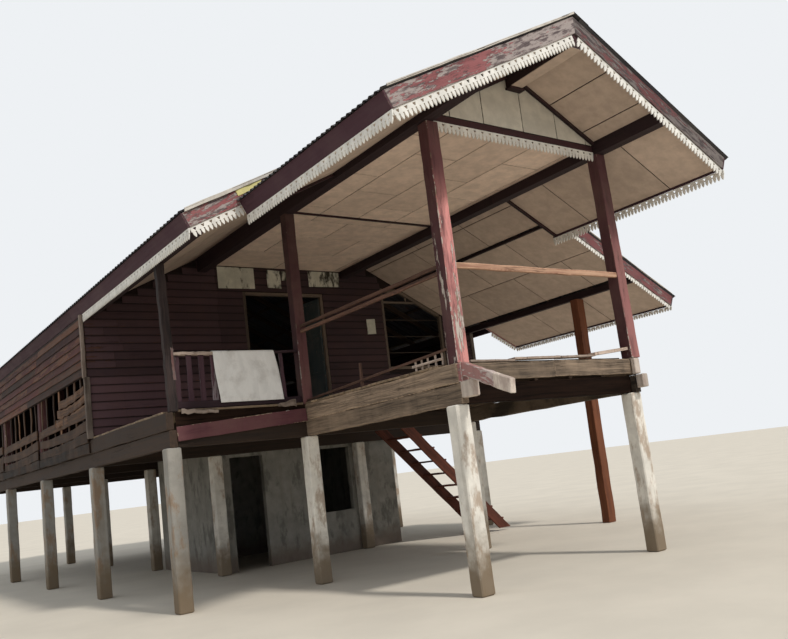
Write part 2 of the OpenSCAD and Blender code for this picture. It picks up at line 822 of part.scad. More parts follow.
module win_member(x0, x1, drop) {
    if (x1 - x0 > frame_w / 2)
        along_y(wall_front - frame_out, wall_front + frame_w) polygon([
            [x0, win_top(x0) - drop], [x1, win_top(x1) - drop],
            [x1, win_top(x1)], [x0, win_top(x0)]]);
}

module window_frames() {
    x0 = win_left + seam;
    x1 = win_right - seam;
    x2 = x0 + frame_w + seam;
    x3 = x1 - frame_w - seam;
    z0 = win_bottom + seam;
    y0 = wall_front - frame_out;
    y1 = wall_front + frame_w;
    bend = min(x3, main_ridge_x + (main_ridge[1] - win_head) / tan(pitch));
    head_d = frame_w / c;
    color(cream) {
        block(x0, x0 + frame_w, y0, y1, z0, win_head);
        along_y(y0, y1) polygon([[x1 - frame_w, z0], [x1, z0], [x1, win_top(x1)],
            [x1 - frame_w, win_top(x1 - frame_w)]]);
        block(x2, x3, y0, y1, z0, z0 + frame_w);
        win_member(x2, bend, head_d);
        win_member(bend + seam, x3, head_d);
        intersection() {
            translate([0, 0, -head_d - sheet_t / c - seam]) tall_panel(x2, x3, z0, y0, y1);
            block(x0, x1, y0, y1, z0 + window_transom, z0 + window_transom + frame_w / 2);
        }
        frame_y(back_x0 + seam, back_x0 + small_w - seam, back_sill + seam,
            back_head - seam, wall_back - frame_w, wall_back + frame_out, true);
        rotate([0, 0, 90]) frame_y(right_y0 + seam, right_y0 + small_w - seam,
            right_sill + seam, right_head - seam, -wall_right - frame_out,
            frame_w - wall_right, true);
    }
}

rail_w = 45;
rail_h = 880;
rail_z = z_floor + rail_h;
rail_gap = 15;
low_rail_h = 60;
stub_w = 30;
stub_h = 170;
stub_step = 140;
stub_run = 720;

module porch_rails() {
    y0 = y_front + post_w / 2;
    y1 = y_ver - post_w / 2;
    color(timber) {
        for (z = [rail_z, rail_z + rail_w + rail_gap])
            block(x_a - rail_w / 2, x_a + rail_w / 2, y0, y1, z, z + rail_w);
        along_x(x_a - rail_w / 2, x_a - seam) polygon([[y0, z_floor + 2 * low_rail_h],
            [y1, z_floor], [y1, z_floor + rail_w], [y0, z_floor + 2 * low_rail_h + rail_w]]);
        for (y = spread(y0 + stub_step / 2, y0 + stub_run, stub_step))
            block(x_a, x_a + stub_w, y - stub_w / 2, y + stub_w / 2, z_floor,
                z_floor + stub_h);
        block(x_a + post_w / 2, x_b - post_w / 2, y_front - rail_w / 2,
            y_front + rail_w / 2, rail_z + rail_w, rail_z + 2 * rail_w + rail_gap);
    }
}

veranda_rail_up = 640;
veranda_rail_z = z_floor + veranda_rail_up;
veranda_rail_h = 30;
baluster_step = 160;

module veranda_railing() {
    x0 = x_left + post_w / 2;
    x1 = x_a - post_w / 2;
    color(timber) {
        block(x0, x1, y_ver - 2 * board_t, y_ver + 2 * board_t, veranda_rail_z,
            veranda_rail_z + veranda_rail_h);
        for (x = spread(x0 + slat_w, x1 - slat_w, baluster_step))
            block(x - slat_w / 2, x + slat_w / 2, y_ver - board_t / 2,
                y_ver + board_t / 2, z_floor, veranda_rail_z - seam);
    }
}

// The plastered room stands between the stilts, with a doorway and a window
room_x0 = x_a + stilt_w / 2;
room_y0 = y_house + stilt_w / 2;
room_door_x = 180;
room_door_w = 560;
room_win_x = 1800;
room_win_w = 560;
room_win_z = 690;
room_head = 1750;
room_d = bay - stilt_w - room_gap;

module room_walls() {
    x1 = room_x0 + room_w;
    y1 = room_y0 + room_d;
    t = masonry_t;
    d0 = room_x0 + room_door_x;
    d1 = d0 + room_door_w;
    w0 = room_x0 + room_win_x;
    w1 = w0 + room_win_w;
    color(white_paint) {
        block(room_x0, d0, room_y0, room_y0 + t, 0, z_joist);
        block(d0 + seam, d1 - seam, room_y0, room_y0 + t, room_head, z_joist);
        block(d1, w0, room_y0, room_y0 + t, 0, z_joist);
        block(w0 + seam, w1 - seam, room_y0, room_y0 + t, 0, room_win_z);
        block(w0 + seam, w1 - seam, room_y0, room_y0 + t, room_head, z_joist);
        block(w1, x1, room_y0, room_y0 + t, 0, z_joist);
        block(room_x0, room_x0 + t, room_y0 + t + seam, y1 - t - seam, 0, z_joist);
        block(x1 - t, x1, room_y0 + t + seam, y1 - t - seam, 0, z_joist);
        block(room_x0, x1, y1 - t, y1, 0, z_joist);
    }
}

// A steep flight from the wing's ground up to the veranda's right edge
stair_back = 1750;
stair_w = 750;
stringer_t = 40;
stringer_d = 180;
stringer_drop = 30;
risers = 10;
going = 220;
tread_t = 30;
tread_lap = 20;
stair_y = y_ver + stair_back;
stair_x0 = x_b + beam_w / 2;
rise = z_floor / risers;

module stringer(y0) {
    slope = rise / going;
    plumb = stringer_d * sqrt(1 + slope * slope);
    top = z_deck - stringer_drop;
    along_y(y0, y0 + stringer_t) polygon([
        [stair_x0, top], [stair_x0, top - plumb],
        [stair_x0 + (top - plumb) / slope, 0], [stair_x0 + top / slope, 0]]);
}

module stair_stringers() {
    color(timber) {
        stringer(stair_y);
        stringer(stair_y + stair_w - stringer_t);
    }
}

module stair_treads() {
    color(timber) for (i = [1 : risers - 1])
        block(stair_x0 + going * (i - 1) + seam, stair_x0 + going * i + tread_lap,
            stair_y + stringer_t, stair_y + stair_w - stringer_t,
            z_floor - i * rise - tread_t, z_floor - i * rise);
}

module placed() {
    translate([-origin_x, -origin_y, 0]) children();
}

placed() {
    front_concrete_posts();
    side_concrete_posts();
    inner_concrete_posts();
    wing_post();
    porch_side_beams();
    beam_noses();
    porch_front_beams();
    left_floor_beam();
    cross_beams();
    floor_joists();
    porch_floor();
    veranda_floor();
    house_floor();
    veranda_fascia();
    porch_posts();
    veranda_post();
    house_posts();
    wall_plates();
    gable_beams();
    gable_panel();
    porch_ceiling();
    porch_soffits();
    main_soffits();
    soffit_battens();
    roof_rafters();
    roof_purlins();
    porch_roof_left();
    porch_roof_right();
    main_roof_left();
    main_roof_right();
    wing_roof();
    ridge_caps();
    bargeboards();
    eave_fascias();
    porch_fretwork();
    main_fretwork();
    front_wall();
    left_wall();
    left_parapet();
    right_wall();
    back_wall();
    door_frame();
    window_frames();
    porch_rails();
    veranda_railing();
    room_walls();
    stair_stringers();
    stair_treads();
}
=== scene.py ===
import math

import bmesh
import bpy
import numpy as np
from bpy.props import FloatProperty, FloatVectorProperty, IntProperty, PointerProperty
from mathutils import Matrix, Vector
from mathutils.geometry import tessellate_polygon


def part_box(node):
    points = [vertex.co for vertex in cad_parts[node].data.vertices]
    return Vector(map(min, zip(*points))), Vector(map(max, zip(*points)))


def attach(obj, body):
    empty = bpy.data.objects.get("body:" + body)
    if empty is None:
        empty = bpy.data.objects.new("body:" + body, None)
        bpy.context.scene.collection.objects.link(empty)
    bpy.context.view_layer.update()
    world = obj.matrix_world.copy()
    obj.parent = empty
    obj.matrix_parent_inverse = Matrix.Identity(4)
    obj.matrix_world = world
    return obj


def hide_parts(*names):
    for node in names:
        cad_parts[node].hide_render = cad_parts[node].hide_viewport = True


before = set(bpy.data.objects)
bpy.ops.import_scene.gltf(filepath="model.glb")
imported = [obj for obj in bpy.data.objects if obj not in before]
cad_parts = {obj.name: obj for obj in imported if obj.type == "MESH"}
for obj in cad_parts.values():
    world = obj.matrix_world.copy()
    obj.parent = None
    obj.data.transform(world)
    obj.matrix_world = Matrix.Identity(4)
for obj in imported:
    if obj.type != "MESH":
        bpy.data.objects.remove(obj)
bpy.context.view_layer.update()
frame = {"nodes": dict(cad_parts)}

bl_info = {
    "name": "Stilt house builder",
    "version": (1, 0, 0),
    "blender": (4, 5, 0),
    "location": "3D View > Sidebar > Stilt house",
    "description": "Builds a timber stilt house, piece by piece, round its CAD frame",
    "category": "Object",
}

# The plan in metres, measured from the foot of the porch's left front stilt
STILT, POST, BEAM, WING_POST = 0.17, 0.14, 0.09, 0.162
WING_PLATE, RIDGE_BEAM = (0.08, 0.075), (0.17, 5.272)
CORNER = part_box("front_concrete_posts")[0]
ORIGIN = Vector((CORNER.x + STILT / 2, CORNER.y + STILT / 2, 0))
X_LEFT, X_A, X_B, X_RIGHT = -1.75, 0.0, 2.6, 5.3
Y_FRONT, Y_VERANDA, Y_HOUSE, Y_BACK = 0.0, 3.0, 6.0, 15.0
HOUSE_ROWS = (6.0, 9.0, 12.0, 15.0)
STILT_ROWS = (Y_VERANDA, *HOUSE_ROWS)
Z_STILT, Z_JOIST, Z_DECK, Z_FLOOR = 1.8, 2.0, 2.2, 2.225
Z_LOWER, Z_UPPER, Z_BOARD = 1.9, 2.1, 2.2125
Z_PLATE, Z_TIE, Z_CEILING = 4.68, 4.71, 4.80
Y_PLATE, Y_BEAM = 6.07, 15.07
PITCH = math.radians(27)
TAN, COS, SIN = math.tan(PITCH), math.cos(PITCH), math.sin(PITCH)
PORCH, MAIN = (1.3, 4.79 + 1.3 * TAN), (1.5, 4.04 + 3.25 * TAN)
Y_VERGE, Y_MAIN, Y_TAIL, Y_WING_END = -1.03, 1.76, 15.54, 5.45
PORCH_LEFT, PORCH_RIGHT = -1.16, 3.59
MAIN_LEFT, WING_RIGHT, HOUSE_RIGHT = -1.8285, 6.125, 5.52
WALL_FRONT, WALL_BACK, WALL_LEFT, WALL_RIGHT = 5.91, 15.09, -1.84, 5.39
LAPS_LEFT, LAPS_RIGHT = -1.82, 5.37
SHEET, RAFTER, PURLIN, FASCIA = 0.01, 0.1, 0.04, 0.025
LAYER_ROOF = SHEET + RAFTER + PURLIN
BARGE_LOW = -0.02 * COS
DOOR = (0.66, 2.14, Z_FLOOR, 4.39)
WINDOW = (3.36, 4.71, 3.04, 4.54)
RIGHT_WINDOW = (10.05, 10.95, 2.724, 3.524)
BACK_WINDOW = (0.85, 1.75, 3.125, 3.925)
STRIP_TOP = 3.1
X_AXIS, Y_AXIS, Z_AXIS = Vector((1, 0, 0)), Vector((0, 1, 0)), Vector((0, 0, 1))


def roof_z(ridge, x):
    """Height of a roof's soffit plane over the plan's x."""
    return ridge[1] - abs(x - ridge[0]) * TAN


def on_slope(ridge, x, y, up):
    """A place on a roof slope, up metres square off the soffit plane."""
    return Vector((x, y, roof_z(ridge, x) + up / COS))


def off_slope(ridge, x, y, up, out=0.0):
    """The place up metres square off the soffit at x, and then out metres down the slope."""
    side = 1 if x > ridge[0] else -1
    return Vector((x + side * (up * SIN + out * COS), y,
                   roof_z(ridge, x) + up * COS - out * SIN))


def srgb(text):
    """Linear colour of a #rrggbb text."""
    parts = [int(text[i:i + 2], 16) / 255 for i in (1, 3, 5)]
    return tuple(v / 12.92 if v <= 0.04045 else ((v + 0.055) / 1.055) ** 2.4 for v in parts)


def shaded(colour_value, factor):
    """A colour made lighter or darker."""
    return tuple(min(1.0, v * factor) for v in colour_value)


def spread(start, end, step):
    """Evenly spaced places from start to end, about a step apart."""
    count = max(1, round((end - start) / step))
    return [start + i * (end - start) / count for i in range(count + 1)]


def stretches(places):
    """Each place with the next one."""
    return list(zip(places[:-1], places[1:]))


def clear_runs(start, end, holes):
    """The stretches between start and end that the holes leave."""
    runs = [(start, end)]
    for low, high in holes:
        cut = [run for a, b in runs for run in ((a, min(b, low)), (max(a, high), b))]
        runs = [(a, b) for a, b in cut if b - a > 0.03]
    return runs


def metres(name, note, default, low, high):
    """A length setting in metres."""
    return FloatProperty(name=name, description=note, default=default, min=low, max=high,
                         unit="LENGTH")


class HouseSizes(bpy.types.PropertyGroup):
    """Sizes of the details that the pieces repeat"""
    lap: metres("Lap board face", "Height of wall board that shows", 0.12, 0.06, 0.3)
    lap_tilt: FloatProperty(name="Lap board tilt", description="Lean of each wall board",
                            default=0.15, min=0.0, max=0.4)
    floor_board: metres("Floor board", "Width of a floor board", 0.16, 0.08, 0.3)
    wave: metres("Wave pitch", "Pitch of the roof sheets' waves", 0.11, 0.05, 0.2)
    wave_height: metres("Wave height", "Height of the waves", 0.021, 0.005, 0.05)
    sheet_width: metres("Roof sheet", "Width of one roof sheet", 0.88, 0.4, 1.5)
    tooth: metres("Tooth pitch", "Pitch of the fretwork's teeth", 0.053, 0.03, 0.1)
    fret_drop: metres("Fretwork drop", "Height of the fretwork", 0.115, 0.05, 0.2)
    wing_drop: metres("Wing fretwork drop", "Its height on the wing", 0.07, 0.03, 0.2)
    wander: metres("Wander", "How far sawn timber wanders off true", 0.003, 0.0, 0.02)
    seed: IntProperty(name="Seed", description="Seed of everything that is uneven",
                      default=7, min=0, max=999)


def colour(name, text, note):
    """A colour setting with its default from a #rrggbb text."""
    return FloatVectorProperty(name=name, description=note, subtype="COLOR", size=3,
                               default=srgb(text), min=0.0, max=1.0)


class HouseColours(bpy.types.PropertyGroup):
    """Colours of the finishes"""
    concrete: colour("Concrete", "#dcd7cd", "Pale concrete of the stilts")
    concrete_dirt: colour("Concrete dirt", "#8c6a48", "Brown stains and dust on concrete")
    maroon: colour("Maroon", "#40232a", "Sound maroon paint")
    maroon_chalk: colour("Chalky maroon", "#d6918c", "Sun-bleached maroon paint")
    maroon_wall: colour("Wall maroon", "#443235", "Maroon paint of the wall boards")
    primer: colour("Pale primer", "#c9bfb6", "Pale coat that shows where the maroon has gone")
    bare: colour("Bare timber", "#8f7c69", "Weathered bare timber")
    bare_dark: colour("Bare timber, dark", "#453a31", "Dark streaks of weathered timber")
    orange: colour("Orange timber", "#8c563a", "Red-brown bare hardwood")
    shade: colour("Shaded timber", "#33271f", "Dark timber of floor and roof")
    cream: colour("Cream sheet", "#c2ae9e", "Ceiling and soffit sheets")
    gable: colour("Gable sheet", "#cbc5b8", "Painted gable sheets")
    white: colour("White paint", "#e9e6df", "White paint of the fretwork")
    plaster: colour("Plaster", "#928f87", "White plaster of the ground room")
    roofing: colour("Roofing", "#35343a", "Dark corrugated roofing")
    stair: colour("Stair timber", "#6b3a2b", "Red-brown stair timber")
    leaf: colour("Door leaf", "#3c4648", "Grey-blue paint of the door leaf")
    frame: colour("Window frame", "#75665b", "Light grey timber of the window frames")
    paper: colour("Paper", "#c9c6b6", "Faded paper sheets on the wall")
    sack: colour("Sack cloth", "#f0eeea", "Plain whitish cloth of the hung sack")
    floor: colour("Studio floor", "#d8cfc0", "Pale floor round the house")


def sign(operation):
    """The arithmetic sign that makes a Math node."""
    return lambda left, right: left.build.math(operation, left, right)


class Value:
    """A node's output, which arithmetic signs can join to others."""
    __add__, __sub__ = sign("ADD"), sign("SUBTRACT")
    __mul__, __truediv__ = sign("MULTIPLY"), sign("DIVIDE")

    def __init__(self, build, socket):
        self.build, self.socket = build, socket


class Nodes:
    """Short ways to add and join the nodes of one tree."""

    def __init__(self, tree):
        self.tree = tree

    def add(self, kind, inputs=None, **settings):
        node = self.tree.nodes.new(kind)
        for key, value in settings.items():
            setattr(node, key, value)
        for key, value in (inputs or {}).items():
            if value is not None:
                self.put(node.inputs[key], value)
        return node

    def put(self, socket, value):
        if isinstance(value, bpy.types.Node):
            value = value.outputs[0]
        if isinstance(value, Value):
            value = value.socket
        if isinstance(value, bpy.types.NodeSocket):
            self.tree.links.new(value, socket)
        else:
            socket.default_value = (*value, 1.0) if socket.type == "RGBA" else value

    def out(self, kind, inputs=None, output=0, **settings):
        """One output of a new node."""
        return Value(self, self.add(kind, inputs, **settings).outputs[output])

    def math(self, operation, a, b=None, c=None, clamp=False):
        return self.out("ShaderNodeMath", {0: a, 1: b, 2: c}, operation=operation,
                        use_clamp=clamp)

    def vector(self, operation, a, b=None, scale=None):
        return self.out("ShaderNodeVectorMath", {0: a, 1: b, "Scale": scale}, "Vector",
                        operation=operation)

    def smooth(self, value, low, high, out=(0.0, 1.0)):
        """A soft step of value from low to high."""
        return self.out("ShaderNodeMapRange", {0: value, 1: low, 2: high, 3: out[0], 4: out[1]},
                        interpolation_type="SMOOTHSTEP")

    def noise(self, vector, scale, detail=4.0, rough=0.55, bend=0.0):
        """Noise with one scale, or with a scale for each axis."""
        if isinstance(scale, tuple):
            vector, scale = self.vector("MULTIPLY", vector, scale), 1.0
        return self.out("ShaderNodeTexNoise", {"Vector": vector, "Scale": scale,
                        "Detail": detail, "Roughness": rough, "Distortion": bend})

    def mix(self, factor, a, b, blend="MIX"):
        return self.out("ShaderNodeMix", {0: factor, 6: a, 7: b}, 2, data_type="RGBA",
                        blend_type=blend)

    def named(self, name, output="Vector"):
        """A mesh attribute, and a single number as Fac."""
        return self.out("ShaderNodeAttribute", None, output, attribute_name=name)

    def place(self):
        return self.out("ShaderNodeTexCoord", None, "Object")

    def parts(self, vector):
        return [Value(self, s) for s in self.add("ShaderNodeSeparateXYZ", {0: vector}).outputs]

    def effect(self, maker, **inputs):
        """Places a shared shader group, which is built at its first use."""
        if maker not in GROUPS:
            GROUPS[maker] = maker()
        node = self.add("ShaderNodeGroup", inputs, node_tree=GROUPS[maker])
        return {s.name: Value(self, s) for s in node.outputs}


GROUPS = {}


def new_group(family, name, **inputs):
    """A node group with named inputs: its nodes, its inputs as values and the function that
    sets its named outputs. An input is given by its default or by its kind of socket."""
    tree = bpy.data.node_groups.new(name, family + "NodeTree")
    for label, value in inputs.items():
        named = isinstance(value, str)
        socket = tree.interface.new_socket(name=label, in_out="INPUT",
                                           socket_type="NodeSocket" + (value if named else "Float"))
        if not named:
            socket.default_value = value
    build = Nodes(tree)
    given = {s.name: Value(build, s) for s in build.add("NodeGroupInput").outputs}

    def give(**outputs):
        kind = "NodeSocketFloat" if family == "Shader" else "NodeSocketGeometry"
        for label in outputs:
            tree.interface.new_socket(name=label, in_out="OUTPUT", socket_type=kind)
        build.add("NodeGroupOutput", outputs)
        return tree

    return build, given, give


def grain():
    """Streaks, cracks and height of sawn timber, along the first coordinate."""
    build, given, give = new_group("Shader", "Timber grain", Along="Vector", Fineness=1.0)
    place = build.vector("SCALE", given["Along"], scale=given["Fineness"])
    broad = build.noise(place, (0.9, 22, 22), 5.0, 0.6, 0.6)
    fine = build.noise(place, (5, 190, 190), 3.0, 0.6)
    split = build.noise(place, (0.7, 34, 34), 3.0, 0.5, 0.9)
    crack = build.smooth(build.math("ABSOLUTE", split - 0.5), 0.0, 0.018, (1.0, 0.0))
    crack = crack * build.smooth(build.noise(place, (1.3, 3, 3)), 0.5, 0.62)
    streaks = broad * 0.62 + fine * 0.38
    return give(Streaks=build.smooth(streaks, 0.3, 0.7), Cracks=crack,
                Height=streaks - crack * 0.9)


def edges():
    """How near a point lies to a timber's arris, from its own section."""
    build, given, give = new_group("Shader", "Timber edges", Width=0.012)
    inside = build.vector("ABSOLUTE", build.named("local"))
    x, y, z = build.parts(build.vector("SUBTRACT", build.named("half"), inside))
    first, second, third = (build.math("MAXIMUM", *two) for two in ((x, y), (y, z), (x, z)))
    near = build.math("MINIMUM", build.math("MINIMUM", first, second), third)
    rag = build.noise(build.place(), 23.0, 4.0, 0.6)
    near = near - given["Width"] * ((rag - 0.28) * 3.2)
    return give(Edge=build.smooth(near, -0.004, 0.002, (1.0, 0.0)))


def peeling():
    """Where paint still holds, with the lifted rim of each flake."""
    build, given, give = new_group("Shader", "Peeling paint", Along="Vector", Loss=0.4,
                                   Edge=0.0, Fineness=1.0)
    along = build.vector("SCALE", given["Along"], scale=given["Fineness"])
    broad = build.noise(along, (1.6, 9, 9), 7.0, 0.62, 0.3)
    flakes = build.noise(along, (9, 46, 46), 5.0, 0.66)
    level = broad * 0.68 + flakes * 0.32 - given["Edge"] * 0.16
    away = level - build.smooth(given["Loss"], 0.0, 1.0, (0.30, 0.70))
    rim = build.smooth(build.math("ABSOLUTE", away), 0.0, 0.022, (1.0, 0.0))
    return give(Paint=build.smooth(away, -0.012, 0.012), Rim=rim)


def weather():
    """Runs of dirt down a face, dust near the ground and soft blotches."""
    build, given, give = new_group("Shader", "Weather", Place="Vector", Reach=0.5)
    place, reach = given["Place"], given["Reach"]
    runs = build.noise(place, (13, 13, 0.55), 4.0, 0.6, 0.4)
    dust = (build.parts(place)[2] - build.noise(place, 6.0) * reach) / reach
    return give(Runs=build.smooth(runs, 0.52, 0.7),
                Dust=build.smooth(dust, -0.25, 0.6, (1.0, 0.0)),
                Blotches=build.smooth(build.noise(place, 2.1, 5.0, 0.6), 0.4, 0.66))


class Finish(Nodes):
    """The nodes of one new material."""

    def __init__(self, name):
        self.material = bpy.data.materials.new(name)
        self.material.use_nodes = True
        super().__init__(self.material.node_tree)
        self.tree.nodes.clear()
        self.shader = self.add("ShaderNodeBsdfPrincipled")
        self.add("ShaderNodeOutputMaterial", {0: self.shader})

    def toned(self, base, tones):
        """The colour made lighter or darker by each part's own tone."""
        value = self.math("MULTIPLY_ADD", self.named("tone", "Fac"), 2 * tones, 1.0 - tones)
        grey = self.add("ShaderNodeCombineColor", {0: value, 1: value, 2: value})
        return self.mix(1.0, base, grey, "MULTIPLY")

    def dress(self, base, rough, shine, height=None, strength=0.0, relief=0.0):
        """Joins colour, roughness, shine and relief to the shader."""
        inputs = {"Base Color": base, "Roughness": rough, "Specular IOR Level": shine}
        if height:
            inputs["Normal"] = self.add("ShaderNodeBump", {
                "Height": height, "Strength": strength, "Distance": relief})
        for key, value in inputs.items():
            self.put(self.shader.inputs[key], value)
        return self.material


def timber_finish(name, light, dark, paint=None, chalk=None, primer=None, loss=0.3,
                  bleach=0.0, tones=0.22, dirt=0.3, edge=0.012, fine=1.0, relief=0.0022,
                  shine=0.3, flake=1.0, covered=None):
    """Sawn timber with its grain, and over it the paint that is left. Where covered is
    given, the next lap starts there across the board, and its shadow lies below it."""
    build = Finish(name)
    wear, local = build.named("wear", "Fac"), build.named("local")
    shift = build.vector("SCALE", (17.3, 5.1, 3.7), scale=build.named("tone", "Fac"))
    along = build.vector("ADD", local, shift)
    wood = build.effect(grain, Along=along, Fineness=fine)
    streaks, cracks, height = wood["Streaks"], wood["Cracks"], wood["Height"]
    arris = build.effect(edges, Width=edge)["Edge"]
    dirty = build.effect(weather, Place=build.place())
    base = build.mix(streaks, dark, light)
    # Arrises lighter: a painted highlight along each edge.
    base = build.mix(arris * 0.4, base, shaded(light, 1.35))
    base = build.mix(cracks * 0.85, base, shaded(dark, 0.3))
    if paint:
        peel = build.effect(peeling, Along=along, Edge=arris, Loss=wear * (2 * loss),
                            Fineness=flake)
        # Faces that look along -Y, towards the sun, fade to chalk: real sun bleaching, and also
        # painted light that makes the sunlit sides paler than the shaded ones.
        facing = build.parts(build.out("ShaderNodeNewGeometry", None, "Normal"))
        sunlit_bleach = build.smooth(facing[1] * -1.0, 0.2, 0.8)
        sunlit_bleach = sunlit_bleach * (build.math("POWER", wear, 2.0) * (2.0 * bleach))
        faded = build.smooth(build.noise(along, (1.1, 7, 7), 6.0, 0.65), 0.25, 0.52)
        faded = faded * build.math("ADD", sunlit_bleach, 0.06 * bleach, clamp=True)
        coat = build.mix(faded, paint, chalk)
        coat = build.mix(cracks * 0.7, coat, shaded(paint, 0.25))
        if primer:
            ghost = build.noise(along, (2.3 * flake, 13 * flake, 13 * flake), 6.0, 0.7)
            ghost = build.smooth(ghost + wear * 0.12, 0.50, 0.60)
            base = build.mix(ghost * 0.85, base, primer)
        base = build.mix(peel["Paint"], base, coat)
        base = build.mix(peel["Rim"] * 0.5, base, shaded(paint, 0.45))
        height = height * 0.5 + peel["Paint"] * 0.4
    base = build.toned(base, tones)
    base = build.mix(dirty["Runs"] * (dirt * 0.4), base, shaded(dark, 0.45))
    base = build.mix(dirty["Blotches"] * (dirt * 0.5), base, shaded(light, 1.1))
    if covered:
        near = build.smooth(build.parts(local)[1], covered - 0.03, covered, (0.0, 0.85))
        base = build.mix(near, base, shaded(dark, 0.25))
    rough = build.math("MULTIPLY_ADD", streaks, 0.16, 0.7)
    return build.dress(base, rough, shine, height, 0.9, relief)


def mineral_finish(name, body, stain, patch=None, patches=0.5, runs=0.3, dust=0.0, reach=0.5,
                   blotch=0.3, tones=0.05, pits=0.0, rough=0.85, relief=0.0015, fineness=60.0,
                   edge=0.0):
    """Concrete, plaster, fibre sheet or paper with stains and a fine surface."""
    build = Finish(name)
    place = build.place()
    shift = build.vector("SCALE", (3.1, 4.3, 0.0), scale=build.named("tone", "Fac"))
    dirty = build.effect(weather, Place=build.vector("ADD", place, shift), Reach=reach)
    fine = build.noise(place, fineness, 6.0, 0.6)
    mottle = build.noise(place, 7.0, 6.0, 0.62)
    base = build.mix(build.smooth(mottle, 0.3, 0.7), shaded(body, 0.86), shaded(body, 1.07))
    base = build.toned(base, tones)
    base = build.mix(dirty["Runs"] * runs, base, stain)
    base = build.mix(dirty["Blotches"] * blotch, base, shaded(body, 0.62))
    if patch:
        spots = build.smooth(build.noise(place, (5.5, 5.5, 2.2), 8.0, 0.68), 0.5, 0.62)
        base = build.mix(spots * patches, base, patch)
    base = build.mix(dirty["Dust"] * dust, base, stain)
    if edge:
        arris = build.effect(edges, Width=edge)["Edge"]
        base = build.mix(arris * 0.7, base, shaded(body, 0.55))
    height = fine * 0.4 + mottle * 0.6
    if pits:
        pit = build.out("ShaderNodeTexVoronoi", {"Vector": place, "Scale": 34.0}, "Distance")
        gate = build.smooth(build.noise(place, 9.0, 3.0), 0.5, 0.6)
        pit = build.smooth(pit, 0.05, 0.16, (1.0, 0.0)) * gate * pits
        base = build.mix(pit, base, shaded(stain, 0.5))
        height = height - pit
    rough = build.math("MULTIPLY_ADD", fine, 0.12, rough - 0.06)
    return build.dress(base, rough, 0.25, height, 0.7, relief)


def roofing_finish(name, body, dust, rust):
    """Dull dark roofing with dusty troughs and a little rust."""
    build = Finish(name)
    place = build.place()
    down = build.noise(place, (0.8, 11, 0.8), 5.0, 0.6)
    soft = build.noise(place, 1.6, 6.0, 0.6)
    rusty = build.smooth(build.noise(place, 3.3, 8.0, 0.7), 0.57, 0.68)
    base = build.mix(build.smooth(down, 0.35, 0.7), shaded(body, 0.7), shaded(body, 1.5))
    base = build.mix(build.smooth(soft, 0.42, 0.7) * 0.45, base, dust)
    base = build.toned(build.mix(rusty * 0.45, base, rust), 0.2)
    rough = build.math("MULTIPLY_ADD", soft, 0.25, 0.5)
    return build.dress(base, rough, 0.35, build.noise(place, 90.0, 3.0), 0.4, 0.001)


def cloth_finish(name, body, stain, weave=0.004):
    """Plain woven cloth with soft creases, painted shade in them, and a little dirt."""
    build = Finish(name)
    along = build.named("local")
    crease = build.noise(along, (9, 3, 1), 5.0, 0.6, 0.8)
    dirt = build.smooth(build.noise(build.place(), 6.0, 6.0, 0.65), 0.48, 0.7)
    x, y, z = build.parts(build.vector("SCALE", along, scale=math.tau / weave))
    woven = build.math("SINE", x) * build.math("SINE", y)
    # Creases darker: painted shade in the folds.
    base = build.mix(build.smooth(crease, 0.3, 0.7), shaded(body, 0.88), body)
    base = build.mix(dirt * 0.3, base, stain)
    base = build.mix(build.smooth(woven, -0.2, 0.8, (0.0, 0.15)), base, shaded(body, 0.8))
    height = build.math("MULTIPLY_ADD", woven, 0.06, crease)
    rough = build.math("MULTIPLY_ADD", crease, 0.2, 0.6)
    return build.dress(base, rough, 0.25, height, 0.8, 0.004)


